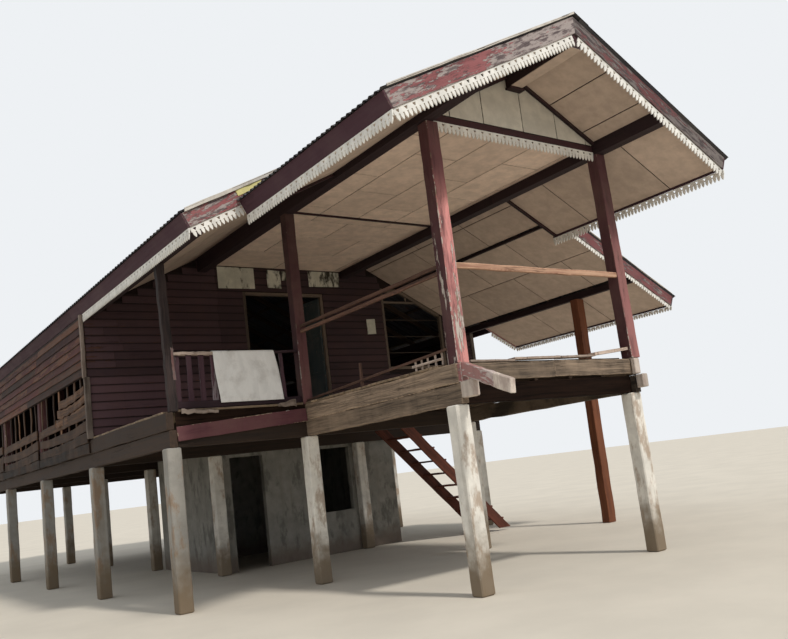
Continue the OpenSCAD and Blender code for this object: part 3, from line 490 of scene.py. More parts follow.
# Each finish: its colours, by setting or #rrggbb and with a factor after a star, and its
# values. A timber's colours are light, dark, paint, chalk and primer; a mineral's are body,
# stain and patch.
SHEETS = dict(blotch=0.2, tones=0.05, relief=0.0008, edge=0.005, runs=0.06)
CREAM = {**SHEETS, "blotch": 0.22, "tones": 0.08, "runs": 0.08}
LOOKS = {timber_finish: {
    "post_paint": ("bare bare_dark maroon maroon_chalk primer", dict(
        loss=0.2, bleach=0.8, tones=0.3, dirt=0.2, edge=0.010)),
    "plate_paint": ("bare_dark*0.9 bare_dark*0.4 #241619 #553236", dict(
        loss=0.15, bleach=0.8, tones=0.2, dirt=0.1)),
    "board_paint": ("#7f7070 #423637 #6d3437 #ad6d6e #b6aaa5", dict(
        loss=0.5, bleach=1.3, tones=0.25, dirt=0.2, edge=0.007, flake=2.2, fine=1.8)),
    "eave_paint": ("#6d5c58 #33262a #3f2730 #6a4448", dict(
        loss=0.3, bleach=0.5, tones=0.2, dirt=0.2, edge=0.006)),
    "nose_paint": ("#a89a94 #6b5250 #98625f #cc9d96 #d2c2bb", dict(
        loss=0.34, bleach=1.0, tones=0.3, dirt=0.5, edge=0.01, flake=2.4)),
    "wall_paint": ("#5f3f30 #2d1d1a maroon_wall maroon_wall*1.5", dict(
        loss=0.24, bleach=0.3, tones=0.28, dirt=0.2, edge=0.005, relief=0.0016,
        covered=0.047)),
    "side_wall_paint": ("#7c4930 #2b1c16 #4a2826 #7b463e #614638", dict(
        loss=0.34, bleach=0.5, tones=0.4, dirt=0.2, edge=0.006, covered=0.047)),
    # Light colour doubled from bare timber: painted light on the side beams' faces; the front board
    # is toned down again.
    "grey_timber": ("bare*2.0 bare_dark*1.2", dict(tones=0.28, dirt=0.35, relief=0.0045)),
    "plank_timber": ("#7f5f48 #2c1c14", dict(tones=0.4, edge=0.008, relief=0.004)),
    "upright_timber": ("#62504c #292022", dict(tones=0.3, edge=0.008, relief=0.004)),
    # Near-black timber: painted shade, for faces that lie in shadow under the floors.
    "dark_timber": ("#30221b #120b08", dict(tones=0.3, dirt=0.1, relief=0.003, shine=0.04)),
    "shade_timber": ("shade*1.7 shade*0.7", dict(tones=0.35, dirt=0.2, relief=0.003)),
    "floor_timber": ("#98846c #4c3d31", dict(tones=0.25, edge=0.01, relief=0.003)),
    "pale_timber": ("#beada0 #695649", dict(tones=0.35, edge=0.006, relief=0.004)),
    "orange_timber": ("orange #5d3320", dict(tones=0.12, dirt=0.25, relief=0.002, fine=0.8)),
    "rail_timber": ("#c9a58a #8a5f4c", dict(tones=0.3, dirt=0.12, relief=0.0025)),
    "side_rail_timber": ("#7a5a4b #33241f", dict(tones=0.3, edge=0.008, relief=0.002)),
    "baluster_paint": ("#5d4c4a #2b2020 #36222a #5a4046 #6d6366", dict(
        loss=0.35, bleach=0.5, tones=0.3, dirt=0.2, edge=0.004)),
    "stair_timber": ("stair #33190f", dict(tones=0.25, dirt=0.35, edge=0.016)),
    "frame_timber": ("frame #5b5143", dict(tones=0.2, dirt=0.2, edge=0.006, relief=0.001)),
    "jamb_timber": ("#6b5d51 #3d332b", dict(tones=0.35, dirt=0.2, edge=0.005, relief=0.001)),
    "leaf_paint": ("bare bare_dark leaf leaf*1.3", dict(
        loss=0.2, bleach=0.3, tones=0.06, edge=0.006)),
}, mineral_finish: {
    "stilt_concrete": ("concrete #786854 concrete_dirt", dict(
        patches=0.6, dust=0.95, reach=0.7, tones=0.2, pits=0.6, relief=0.003, edge=0.006)),
    "room_plaster": ("plaster #6f6156 #5f5d57", dict(
        patches=0.75, runs=0.25, dust=0.8, reach=0.35, blotch=0.5, pits=0.3, relief=0.002)),
    "ceiling_sheet": ("cream #8a7763", CREAM),
    # A lit copy of the ceiling sheet, half again as light: painted light on the porch ceiling.
    "bright_ceiling": ("cream*1.48 #a58f7b", CREAM),
    "gable_sheet": ("gable #9a9284", SHEETS),
    "wall_paper": ("paper #7d776a #38352f", dict(
        patches=1.0, blotch=0.5, tones=0.12, relief=0.0004, fineness=30.0)),
    "fret_white": ("white #a39a8b", dict(
        runs=0.25, blotch=0.2, tones=0.04, relief=0.0006, rough=0.6, fineness=40.0)),
    "verge_flashing": ("#cbc4ba #85796c #9d8d7c", dict(
        patches=0.35, runs=0.2, blotch=0.2, tones=0.1, relief=0.0008, rough=0.6)),
    "pale_end_grain": ("#c9bcb0 #7f6a60 #8f7770", dict(
        blotch=0.4, tones=0.2, relief=0.002, edge=0.006)),
    "yellow_sheet": ("#e0d592 #a8975a", dict(blotch=0.2, rough=0.55)),
    # Near-black lining: painted shade of the unlit inside, seen through the door and windows.
    "wall_lining": ("#231613 #140c0a", dict(blotch=0.4, relief=0.001)),
}, roofing_finish: {"roofing_sheet": ("roofing #5d5750 #4a2c1e", {})},
    cloth_finish: {"sack_cloth": ("sack #a79f95", {})}}


def hue(text):
    """The colour that a text of the finishes' table stands for."""
    name, star, factor = text.partition("*")
    settings = bpy.context.scene.house_colours
    value = srgb(name) if name[0] == "#" else tuple(getattr(settings, name))
    return shaded(value, float(factor or 1))


MATERIALS = {}


def finish_named(name):
    """A material of the house, made at its first use from the colour settings."""
    if name not in MATERIALS:
        maker = next(maker for maker, looks in LOOKS.items() if name in looks)
        colours, values = LOOKS[maker][name]
        MATERIALS[name] = maker(name, *map(hue, colours.split()), **values)
    return MATERIALS[name]


def linked(name, data):
    """A new object in the scene."""
    obj = bpy.data.objects.new(name, data)
    bpy.context.scene.collection.objects.link(obj)
    return obj


def built(name, points, faces=(), **layers):
    """A new mesh object, with its points' attributes."""
    mesh = bpy.data.meshes.new(name)
    mesh.from_pydata(points, [], faces)
    for key, values in layers.items():
        flat = np.asarray(values, dtype=np.float32)
        kind, field_name = ("FLOAT", "value") if flat.ndim == 1 else ("FLOAT_VECTOR", "vector")
        mesh.attributes.new(key, kind, "POINT").data.foreach_set(field_name, flat.ravel())
    mesh.update()
    return linked(name, mesh)


def face_outwards(mesh):
    soft = bmesh.new()
    soft.from_mesh(mesh)
    bmesh.ops.recalc_face_normals(soft, faces=soft.faces)
    soft.to_mesh(mesh)
    soft.free()


def finish_node(node, material):
    """Gives a mesh object its only material."""
    node.data.materials.clear()
    node.data.materials.append(finish_named(material))


def place_piece(obj, material, nodes=()):
    """Gives a finished piece its material, its body and the nodes it stands for."""
    finish_node(obj, material)
    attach(obj, "root")
    if nodes:
        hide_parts(*nodes)
    return obj


def eight_corners(wide, deep, edge):
    """A chamfered section, counter-clockwise."""
    w, d = wide / 2, deep / 2
    return [(w, d - edge), (w - edge, d), (edge - w, d), (-w, d - edge),
            (-w, edge - d), (edge - w, -d), (w - edge, -d), (w, edge - d)]


def tube_faces(rings):
    """The faces of a closed tube of eight-sided rings."""
    faces = [tuple(range(7, -1, -1))]
    for i in range(0, 8 * (rings - 1), 8):
        for k in range(8):
            n = (k + 1) % 8
            faces.append((i + k, i + n, i + 8 + n, i + 8 + k))
    return [*faces, tuple(range(8 * (rings - 1), 8 * rings))]


def square_to(t, near):
    """The direction square to t that lies nearest to another."""
    u = Vector(near)
    return (u - t * u.dot(t)).normalized()


def chosen_tone(random, tone):
    """A random tone, or the given one with a hair's difference in its grain."""
    chance = random.random()
    return chance if tone is None else tone + 0.02 * (chance - 0.5)


class Timbers:
    """Timbers, boards and sheets of one piece, each with its own grain and tone."""

    def __init__(self, seed):
        self.random = np.random.default_rng(seed)
        self.points, self.faces = [], []
        self.layers = {"local": [], "half": [], "tone": [], "wear": []}

    def add(self, points, faces, local, half, wear, tone=None):
        start, count = len(self.points), len(points)
        self.points += [tuple(p) for p in points]
        self.faces += [tuple(start + i for i in face) for face in faces]
        tone = chosen_tone(self.random, tone)
        values = ([tuple(p) for p in local], [tuple(half)] * count, [tone] * count,
                  np.broadcast_to(wear, count))
        for layer, more in zip(self.layers.values(), values):
            layer += list(more)
        return self

    def member(self, a, b, across, wide, deep, cuts=6, edge=0.005, wander=0.002, wear=0.5,
               sag=0.0, skew=(0.0, 0.0), taper=(1.0, 1.0), tone=None):
        """A sawn timber from a to b. Its wide side lies along across."""
        a, b = Vector(a), Vector(b)
        length = (b - a).length
        t = (b - a) / length
        u = square_to(t, across)
        v = t.cross(u)
        edge = min(edge, wide * 0.3, deep * 0.3, length * 0.2)
        stations = [0.0, *np.linspace(edge, length - edge, cuts + 1), length]
        drift = self.random.normal(0, wander, (len(stations), 2))
        points, local, wears = [], [], []
        span = np.atleast_1d(wear)
        for i, s in enumerate(stations):
            f = s / length
            size = taper[0] + (taper[1] - taper[0]) * f
            cap = 2 * edge if i in (0, len(stations) - 1) else 0.0
            shake = self.random.normal(0, wander * 0.35, (8, 2))
            for k, (p, q) in enumerate(eight_corners(wide * size - cap, deep * size - cap, edge)):
                slide = p * (skew[0] * (1 - f) + skew[1] * f)
                spot = a + t * (s + slide) + u * (p + drift[i][0] + shake[k][0])
                spot += v * (q + drift[i][1] + shake[k][1])
                spot.z -= sag * 4 * f * (1 - f)
                points.append(spot)
                local.append((s - length / 2, p, q))
                wears.append(float(np.interp(f, np.linspace(0, 1, len(span)), span)))
        half = (length / 2, wide / 2, deep / 2)
        return self.add(points, tube_faces(len(stations)), local, half, wears, tone)

    def slab(self, corners, thick, along=None, edge=0.003, wear=0.5, gap=0.0, tone=None):
        """A flat sheet, or a timber cut to an outline where along is square to its corners.
        The corners run counter-clockwise on the side that shows."""
        corners = [Vector(c) for c in corners]
        count = len(corners)
        first = corners[1] - corners[0]
        n = first.cross(corners[2] - corners[1]).normalized()
        t = Vector(along or first).normalized()
        if abs(t.dot(n)) > 0.9:
            u = first.normalized()
            axes = (n, u, n.cross(u))
        else:
            t = square_to(n, t)
            axes = (t, n.cross(t), n)
        centre = sum(corners, Vector()) / count - n * thick / 2

        def inset(ring, distance):
            moved = []
            for i, c in enumerate(ring):
                n0 = n.cross((c - ring[i - 1]).normalized())
                n1 = n.cross((ring[(i + 1) % count] - c).normalized())
                moved.append(c + (n0 + n1) * distance / (1 + n0.dot(n1)))
            return moved

        outer = inset(corners, gap) if gap else corners
        inner = inset(outer, edge)
        points = [*inner, *(c - n * edge for c in outer),
                  *(c - n * (thick - edge) for c in outer), *(c - n * thick for c in inner)]
        faces = [tuple(range(count))]
        for i in range(0, 3 * count, count):
            for k in range(count):
                m = (k + 1) % count
                faces.append((i + m, i + k, i + count + k, i + count + m))
        faces.append(tuple(range(4 * count - 1, 3 * count - 1, -1)))
        local = [tuple((p - centre).dot(a) for a in axes) for p in points]
        half = [max(abs(p[i]) for p in local) for i in range(3)]
        return self.add(points, faces, local, half, wear, tone)

    def prism(self, outline, y0, y1, **rest):
        """A timber along the ridges, with its outline in x and z seen from the front."""
        return self.slab([(x, y0, z) for x, z in outline], y1 - y0, along=Y_AXIS, **rest)

    def piece(self, name, material, slot, *nodes):
        shift = np.array(self.points) + np.array(ORIGIN)
        obj = built(name, [tuple(p) for p in shift], self.faces, **self.layers)
        return place_piece(obj, material, nodes)


class Rows:
    """Places of repeated parts, each with its size, turn, wear and tone."""

    def __init__(self, seed):
        self.random = np.random.default_rng(seed)
        self.places = []
        self.layers = {"size": [], "turn": [], "tone": [], "wear": []}

    def add(self, centre, size, along, across, wear=0.5, shake=0.0, tone=None):
        """One part, its length laid along one way and its width near another."""
        t = Vector(along).normalized()
        u = square_to(t, across)
        turn = Vector(Matrix((t, u, t.cross(u))).transposed().to_euler("XYZ"))
        if shake:
            turn += Vector(self.random.normal(0, shake, 3))
        self.places.append(tuple(Vector(centre) + ORIGIN))
        values = (tuple(size), tuple(turn), chosen_tone(self.random, tone), wear)
        for layer, value in zip(self.layers.values(), values):
            layer.append(value)

    def run(self, a, b, across, wide, deep, wear=0.5, shake=0.0, tone=None):
        a, b = Vector(a), Vector(b)
        self.add((a + b) / 2, ((b - a).length, wide, deep), b - a, across, wear, shake, tone)


def unit_timber(cuts):
    """A timber one metre each way, whose chamfer the tree sets at its real size."""
    corner, inset = [], []
    stations = [-0.5, *np.linspace(-0.5, 0.5, cuts + 1), 0.5]
    steps = [(0.5, 0.5, 0, 1), (0.5, 0.5, 1, 0), (-0.5, 0.5, 1, 0), (-0.5, 0.5, 0, 1),
             (-0.5, -0.5, 0, 1), (-0.5, -0.5, 1, 0), (0.5, -0.5, 1, 0), (0.5, -0.5, 0, 1)]
    last = len(stations) - 1
    for i, x in enumerate(stations):
        cap, end = int(i in (0, last)), int(i in (1, last - 1))
        corner += [(x, y, z) for y, z, in_y, in_z in steps]
        inset += [(end, in_y + cap, in_z + cap) for y, z, in_y, in_z in steps]
    return built("unit_timber", corner, tube_faces(last + 1), corner=corner, inset=inset)


def field(build, name):
    """A point attribute of the geometry that reads it."""
    return build.out("GeometryNodeInputNamedAttribute", {"Name": name}, "Attribute",
                     data_type="FLOAT_VECTOR")


def keep_field(build, geometry, name, value):
    return build.out("GeometryNodeStoreNamedAttribute", {
        "Geometry": geometry, "Name": name, "Value": value}, "Geometry",
        data_type="FLOAT_VECTOR", domain="POINT")


def moved(build, geometry, offset):
    return build.out("GeometryNodeSetPosition", {"Geometry": geometry, "Offset": offset})


def copies(build, given, shape, scale=None):
    """The shape on every place, turned, as real geometry."""
    spin = build.out("FunctionNodeEulerToRotation", {0: field(build, "turn")})
    shapes = build.out("GeometryNodeInstanceOnPoints", {
        "Points": given["Places"], "Instance": shape, "Rotation": spin, "Scale": scale})
    return build.out("GeometryNodeRealizeInstances", {"Geometry": shapes})


def last_steps(build, given, geometry, rate):
    """A slow seeded noise, so that sawn edges aren't dead straight, and the material."""
    spot = build.out("GeometryNodeInputPosition")
    noise = build.out("ShaderNodeTexNoise", {"W": given["Seed"], "Scale": rate, "Vector": spot},
                      "Color", noise_dimensions="4D")
    offset = build.vector("SUBTRACT", noise, (0.5, 0.5, 0.5))
    offset = build.vector("SCALE", offset, scale=given["Wander"])
    real = build.out("GeometryNodeRealizeInstances", {
        "Geometry": moved(build, geometry, offset)})
    return build.out("GeometryNodeSetMaterial", {"Geometry": real,
                                                 "Material": given["Material"]})


def timber_rows():
    """Chamfered timbers on points that hold their size and turn."""
    build, given, give = new_group("Geometry", "Timber rows", Places="Geometry", Unit="Object",
                                   Chamfer=0.003, Wander=0.0, Seed=0.0, Material="Material")
    unit = build.out("GeometryNodeObjectInfo", {"Object": given["Unit"]}, "Geometry")
    real = copies(build, given, unit)
    corner, size = field(build, "corner"), field(build, "size")
    cut = build.vector("MULTIPLY", build.vector("SIGN", corner), field(build, "inset"))
    cut = build.vector("SCALE", cut, scale=given["Chamfer"])
    local = build.vector("SUBTRACT", build.vector("MULTIPLY", corner, size), cut)
    kept = keep_field(build, real, "local", local)
    kept = keep_field(build, kept, "half", build.vector("SCALE", size, scale=0.5))
    spin = build.out("FunctionNodeEulerToRotation", {0: field(build, "turn")})
    shift = build.out("FunctionNodeRotateVector", {
        "Vector": build.vector("SUBTRACT", local, corner), "Rotation": spin})
    return give(Geometry=last_steps(build, given, moved(build, kept, shift), 2.3))


def roof_sheets():
    """Corrugated sheets on points, each a closed wave-shaped shell."""
    build, given, give = new_group(
        "Geometry", "Roof sheets", Places="Geometry", Wave=0.11, Height=0.02, Width=0.88,
        Thickness=0.002, Rows="Int", Wander=0.0, Seed=0.0, Material="Material")
    grid = build.out("GeometryNodeMeshGrid", {"Size X": 1.0, "Size Y": given["Width"],
                     "Vertices X": 4, "Vertices Y": given["Rows"]}, "Mesh")
    spot = build.out("GeometryNodeInputPosition")
    angle = build.parts(spot)[1] * math.tau / given["Wave"]
    lift = build.math("MULTIPLY_ADD", build.math("COSINE", angle), 0.5, 0.5) * given["Height"]
    wave = moved(build, grid, build.out("ShaderNodeCombineXYZ", {"Z": lift}))
    thick = build.out("ShaderNodeCombineXYZ", {"Z": given["Thickness"]})
    top = build.out("GeometryNodeExtrudeMesh", {"Mesh": wave, "Offset": thick,
                                                "Individual": False}, "Mesh")
    both = build.add("GeometryNodeJoinGeometry", {0: top})
    build.put(both.inputs[0], build.out("GeometryNodeFlipFaces", {"Mesh": wave}))
    shell = build.out("GeometryNodeMergeByDistance", {"Geometry": both, "Distance": 0.00002})
    kept = keep_field(build, shell, "local", spot)
    real = copies(build, given, kept, field(build, "size"))
    return give(Geometry=last_steps(build, given, real, 1.1))


def unit_rows():
    """Copies of one unit shape on points that hold their scale and turn."""
    build, given, give = new_group("Geometry", "Unit rows", Places="Geometry", Unit="Object",
                                   Wander=0.0, Seed=0.0, Material="Material")
    unit = build.out("GeometryNodeObjectInfo", {"Object": given["Unit"]}, "Geometry")
    real = copies(build, given, unit, field(build, "size"))
    return give(Geometry=last_steps(build, given, real, 3.0))


def grown(name, rows, maker, values, material, nodes=()):
    """Runs a tree on the places of the rows and keeps its result as a plain mesh."""
    if maker not in GROUPS:
        GROUPS[maker] = maker()
    tree = GROUPS[maker]
    cloud = built(name, rows.places, **rows.layers)
    modifier = cloud.modifiers.new("rows", "NODES")
    modifier.node_group = tree
    sockets = {s.name: s.identifier for s in tree.interface.items_tree if s.in_out == "INPUT"}
    seed = float(bpy.context.scene.house_sizes.seed)
    for label, value in {**values, "Seed": seed, "Material": finish_named(material)}.items():
        modifier[sockets[label]] = value
    bpy.context.view_layer.update()
    graph = bpy.context.evaluated_depsgraph_get()
    mesh = bpy.data.meshes.new_from_object(cloud.evaluated_get(graph))
    if not mesh.polygons:
        raise RuntimeError(f"{name} came out empty")
    cloud.modifiers.clear()
    bpy.data.objects.remove(cloud)
    if "Unit" in values:
        bpy.data.objects.remove(values["Unit"])
    mesh.name = name
    return place_piece(linked(name, mesh), material, nodes)


def grow_timbers(name, rows, material, nodes=(), cuts=6, chamfer=0.003, wander=None):
    wander = bpy.context.scene.house_sizes.wander if wander is None else wander
    values = {"Unit": unit_timber(cuts), "Chamfer": chamfer, "Wander": 4 * wander}
    return grown(name, rows, timber_rows, values, material, nodes)


class HOUSE_OT_stilts(bpy.types.Operator):
    """Build the concrete stilts"""
    bl_idname = "house.stilts"
    bl_label = "Concrete stilts"

    def execute(self, context):
        sets = {"front": [(X_A, Y_FRONT), (X_B, Y_FRONT)],
                "side": [(X_LEFT, y) for y in STILT_ROWS] + [(X_RIGHT, y) for y in HOUSE_ROWS],
                "inner": [(x, y) for x in (X_A, X_B) for y in STILT_ROWS]}
        for i, (name, places) in enumerate(sets.items()):
            posts = Timbers(100 + i)
            for x, y in places:
                lean = -0.03 if y == Y_FRONT else 0.0
                tone = 0.85 if y == Y_FRONT else 1.2 - 0.12 * y if x > X_LEFT else -0.9
                posts.member((x, y, 0), (x + lean, y, Z_STILT), X_AXIS, STILT - 0.004,
                             STILT - 0.004, cuts=14, edge=0.012, wander=0.0012, tone=tone)
            posts.piece("stilts_" + name, "stilt_concrete", "concrete", name + "_concrete_posts")
        return {"FINISHED"}


class HOUSE_OT_floor_beams(bpy.types.Operator):
    """Build the floor beams, their projecting ends and the joists"""
    bl_idname = "house.floor_beams"
    bl_label = "Floor beams"

    def execute(self, context):
        side, tall, thick = Timbers(110), 0.196, BEAM - 0.004
        # The beams on the right line are toned far darker than those on the left: painted shade on
        # their faces under the porch. The left line's faces carry grey_timber's doubled light:
        # painted light.
        for x, low, high in ((X_A, -0.4, 0.35), (X_B, -1.05, -0.8)):
            for y0, y1, z, deep, cuts, edge, wander, wear, tone in (
                    (-0.10, 2.954, Z_LOWER, thick, 14, 0.006, 0.003, 0.4, low),
                    (-0.08, 6.1, Z_UPPER, BEAM - 0.002, 22, 0.008, 0.0035, 0.3, high),
                    (6.1, Y_BEAM, Z_UPPER, thick, 14, 0.006, 0.003, 0.5, -0.9)):
                side.member((x, y0, z), (x, y1, z), Z_AXIS, tall, deep, cuts=cuts, edge=edge,
                            wander=wander, wear=wear, tone=tone)
        side.piece("porch_beams", "grey_timber", "weathered_wood", "porch_side_beams")
        nose, ends = Timbers(111), Timbers(112)
        top, fall, reach = Vector((0, -0.135, 2.135)), 0.262, 0.64
        slope, split = Vector((0, -reach, -fall)), 0.66
        nose.member((0, -0.137, 2.10), (0, -0.08, 2.10), Z_AXIS, 0.18, BEAM, cuts=2,
                    edge=0.007, wander=0.001)
        nose.member(top, top + slope * split, Z_AXIS, 0.128, 0.066, cuts=9, edge=0.007,
                    wear=(0.5, 0.75), skew=(-fall / reach, -fall / reach))
        ends.member(top + slope * split, top + slope, Z_AXIS, 0.130, 0.068, cuts=5, edge=0.007,
                    wander=0.0016, skew=(-fall / reach, -0.3), tone=0.9)
        for x, y0, y1, z, high, tone in ((X_A, -0.274, -0.10, 1.937, 0.16, 0.3),
                                         (X_B, -0.22, -0.12, 1.92, 0.15, 0.1),
                                         (X_B, -0.137, -0.08, 2.10, 0.18, 0.5)):
            ends.member((x, y0, z), (x, y1, z), Z_AXIS, high, BEAM + 0.002, cuts=3,
                        edge=0.008, tone=tone)
        nose.piece("split_nose_board", "nose_paint", "faded_maroon_paint", "beam_noses")
        ends.piece("pale_beam_ends", "pale_end_grain", "faded_maroon_paint")
        x0, x1, y = BEAM / 2 + 0.002, 2.553, -0.0575
        # The lower front beam is near-black: painted shade under the front board and the floor.
        Timbers(113).member((x0, 0, Z_LOWER), (x1, 0, Z_LOWER), Z_AXIS, tall, thick, cuts=12,
                            edge=0.007, tone=-0.2).piece(
            "front_beam", "dark_timber", "weathered_wood", "porch_front_beams")
        board = Timbers(117)
        for a, b, wander, tone in (((x0, y, 2.11), (1.31, y, 2.11), 0.0022, -0.6),
                                   ((1.313, y, 2.112), (x1, y, 2.106), 0.0024, -0.42)):
            board.member(a, b, Z_AXIS, 0.172, 0.024, cuts=12, edge=0.004, wander=wander,
                         tone=tone)
        board.piece("front_board", "grey_timber", "weathered_wood")
        dark = Timbers(114)
        for x, z, high, tone in ((X_LEFT, Z_LOWER, tall, 0.7), (-1.775, Z_UPPER, 0.198, 0.5)):
            dark.member((x, 2.92, z), (x, Y_BEAM, z), Z_AXIS, high, thick, cuts=26, edge=0.007,
                        wander=0.003, tone=tone)
        dark.piece("left_beams", "shade_timber", "dark_wood", "left_floor_beam")
        cross = Rows(115)
        for y in STILT_ROWS:
            far = (X_B if y == Y_VERANDA else X_RIGHT) + STILT / 2
            cross.run((X_LEFT + BEAM / 2, y, Z_LOWER), (far, y, Z_LOWER), Z_AXIS, 0.2, BEAM,
                      tone=0.1)
        grow_timbers("beams_across", cross, "shade_timber", ["cross_beams"],
                     cuts=16, chamfer=0.006, wander=0.001)
        joists = Rows(116)
        for x0, x1, y0 in ((X_LEFT, X_A, 2.955), (X_A, X_B, -0.045), (X_B, X_RIGHT, 5.955)):
            for x in spread(x0, x1, 0.52)[1:-1]:
                joists.run((x, y0, Z_UPPER), (x, Y_BEAM, Z_UPPER), Z_AXIS, 0.2, BEAM / 2)
        joists.run((X_RIGHT, y0, Z_UPPER), (X_RIGHT, Y_BEAM, Z_UPPER), Z_AXIS, 0.2, BEAM)
        grow_timbers("joists", joists, "shade_timber", ["floor_joists"],
                     cuts=14, chamfer=0.004, wander=0.001)
        return {"FINISHED"}


class HOUSE_OT_floors(bpy.types.Operator):
    """Lay the floor boards of porch, veranda and house"""
    bl_idname = "house.floors"
    bl_label = "Floors"

    def lay(self, rows, x0, x1, y0, y1, width, lap):
        """Boards across a floor, which leave the posts' places free."""
        places, reach = spread(y0, y1, width), POST / 2
        step = places[1] - places[0]
        posts = [(x - reach - 0.004, x + reach + 0.004) for x in (X_LEFT, X_A, X_B, X_RIGHT)]
        for i, y in enumerate(places[:-1]):
            near = any(y - reach < r < y + step + reach for r in (Y_FRONT, *STILT_ROWS))
            for a, b in clear_runs(x0, x1, posts if near else []):
                for c, d in stretches([a, *spread(a, b, 3.1 + 0.4 * (i % 2))[1:-1], b]):
                    out = self.random.uniform(0, lap) if lap else 0.0
                    z = Z_BOARD - self.random.uniform(0, 0.002)
                    rows.run((c - (out if c == x0 else -0.0015), y + step / 2, z),
                             (d + (out if d == x1 else -0.0015), y + step / 2, z),
                             Y_AXIS, step - 0.005, 0.023, shake=0.0006)

    def ragged(self, work, x0, x1, y0, z0, z1, tone, thick=0.02):
        """A worn edge board, its front broken and its height changing from z0 to z1."""
        breaks = np.sort(self.random.uniform(x0 + 0.03, x1 - 0.03, int((x1 - x0) / 0.045)))
        outline = [(x, y0 + self.random.uniform(-0.011, 0.009)) for x in (x0, *breaks, x1)]
        outline += [(x1, 0.042), (x0, 0.042)]
        work.slab([(x, y, z0 + (z1 - z0) * (x - x0) / (x1 - x0)) for x, y in outline], thick,
                  along=(x1 - x0, 0, z1 - z0), edge=0.0015, tone=tone)

    def execute(self, context):
        self.random = np.random.default_rng(120)
        width = context.scene.house_sizes.floor_board
        for name, extent, lap, cuts in (
                ("porch", (-0.045, 2.645, 0.045, 2.929), 0.02, 10),
                ("veranda", (-1.795, 2.645, 2.932, 5.9), 0.015, 10),
                ("house", (LAPS_LEFT, LAPS_RIGHT, 5.93, Y_BEAM), 0.0, 6)):
            rows = Rows(121 + cuts)
            self.lay(rows, *extent, width, lap)
            grow_timbers(name + "_boards", rows, "floor_timber",
                         [name + "_floor"], cuts=cuts)
        edge = Timbers(124)
        for board in ((0.15, 0.74, -0.072, 2.228, 2.224, 0.3),
                      (0.75, 1.42, -0.066, 2.224, 2.230, 0.8),
                      (1.43, 1.98, -0.074, 2.226, 2.234, 0.5),
                      (1.99, 2.57, -0.064, 2.244, 2.300, 1.3, 0.034)):
            self.ragged(edge, *board)
        edge.piece("ragged_floor_edge", "pale_timber", "floor_boards")
        return {"FINISHED"}


class HOUSE_OT_posts(bpy.types.Operator):
    """Set up the posts that carry the roofs"""
    bl_idname = "house.posts"
    bl_label = "Posts"

    def execute(self, context):
        porch, wide = Timbers(130), POST - 0.004
        # Up the two front posts the wear, and with it the chalky fade, drops at the roof's shadow
        # edge: partly real sun bleaching, partly painted light where the sun falls.
        for foot, top, across, deep, wear, tone in (
                ((0.065, 0.01), (0.045, 0.0), 0.150, 0.154, (1.0, 1.0, 0.95, 0.9, 0.3, 0.2),
                 0.5),
                ((2.65, -0.02), (2.6, 0.0), 0.148, 0.156, (0.56, 0.5, 0.44, 0.36, 0.15, 0.1),
                 0.4),
                ((X_A, Y_VERANDA), (X_A, Y_VERANDA), wide, wide, (0.5, 0.1), -0.3),
                ((X_B, Y_VERANDA), (X_B, Y_VERANDA), wide, wide, (0.3, 0.1), -0.4)):
            porch.member((*foot, Z_DECK), (*top, Z_PLATE), X_AXIS, across, deep, cuts=18,
                         edge=0.007, wander=0.0014, wear=wear, tone=tone)
        porch.piece("porch_uprights", "post_paint", "maroon_paint", "porch_posts")
        plate = 0.11
        Timbers(131).member(
            (-1.712, 2.965, Z_DECK), (-1.742, 2.975, roof_z(MAIN, X_LEFT) - plate), X_AXIS, 0.1,
            0.09, cuts=16, edge=0.009, wander=0.0035, tone=-0.5).piece(
            "veranda_upright", "upright_timber", "weathered_wood", "veranda_post")
        Timbers(134).member(
            (-1.682, 2.917, 2.56), (-1.694, 2.918, 2.95), X_AXIS, 0.03, 0.006, cuts=9,
            edge=0.002, wander=0.003, wear=(0.3, 0.5), tone=-0.7).piece(
            "chalky_strip", "nose_paint", "maroon_paint")
        top = roof_z(MAIN, X_RIGHT) - WING_PLATE[1]
        Timbers(132).member(
            (X_RIGHT, Y_VERANDA, 0), (X_RIGHT, Y_VERANDA, top), X_AXIS, WING_POST, WING_POST,
            cuts=20, edge=0.008, wander=0.0022, tone=-0.4).piece(
            "wing_upright", "orange_timber", "orange_wood", "wing_post")
        house = Timbers(133)
        posts = [(x, y, roof_z(MAIN, x) - plate, None) for y in HOUSE_ROWS
                 for x in (X_LEFT, X_RIGHT)]
        for x in (X_A, X_B):
            posts += [(x, Y_HOUSE, Z_PLATE, -0.2), (x, Y_BACK, roof_z(MAIN, x) - 0.03, None)]
        for x, y, top, tone in posts:
            house.member((x, y, Z_DECK), (x, y, top), X_AXIS, wide, wide, cuts=8, wander=0.001,
                         wear=0.3, tone=tone)
        house.piece("house_uprights", "post_paint", "maroon_paint", "house_posts")
        return {"FINISHED"}


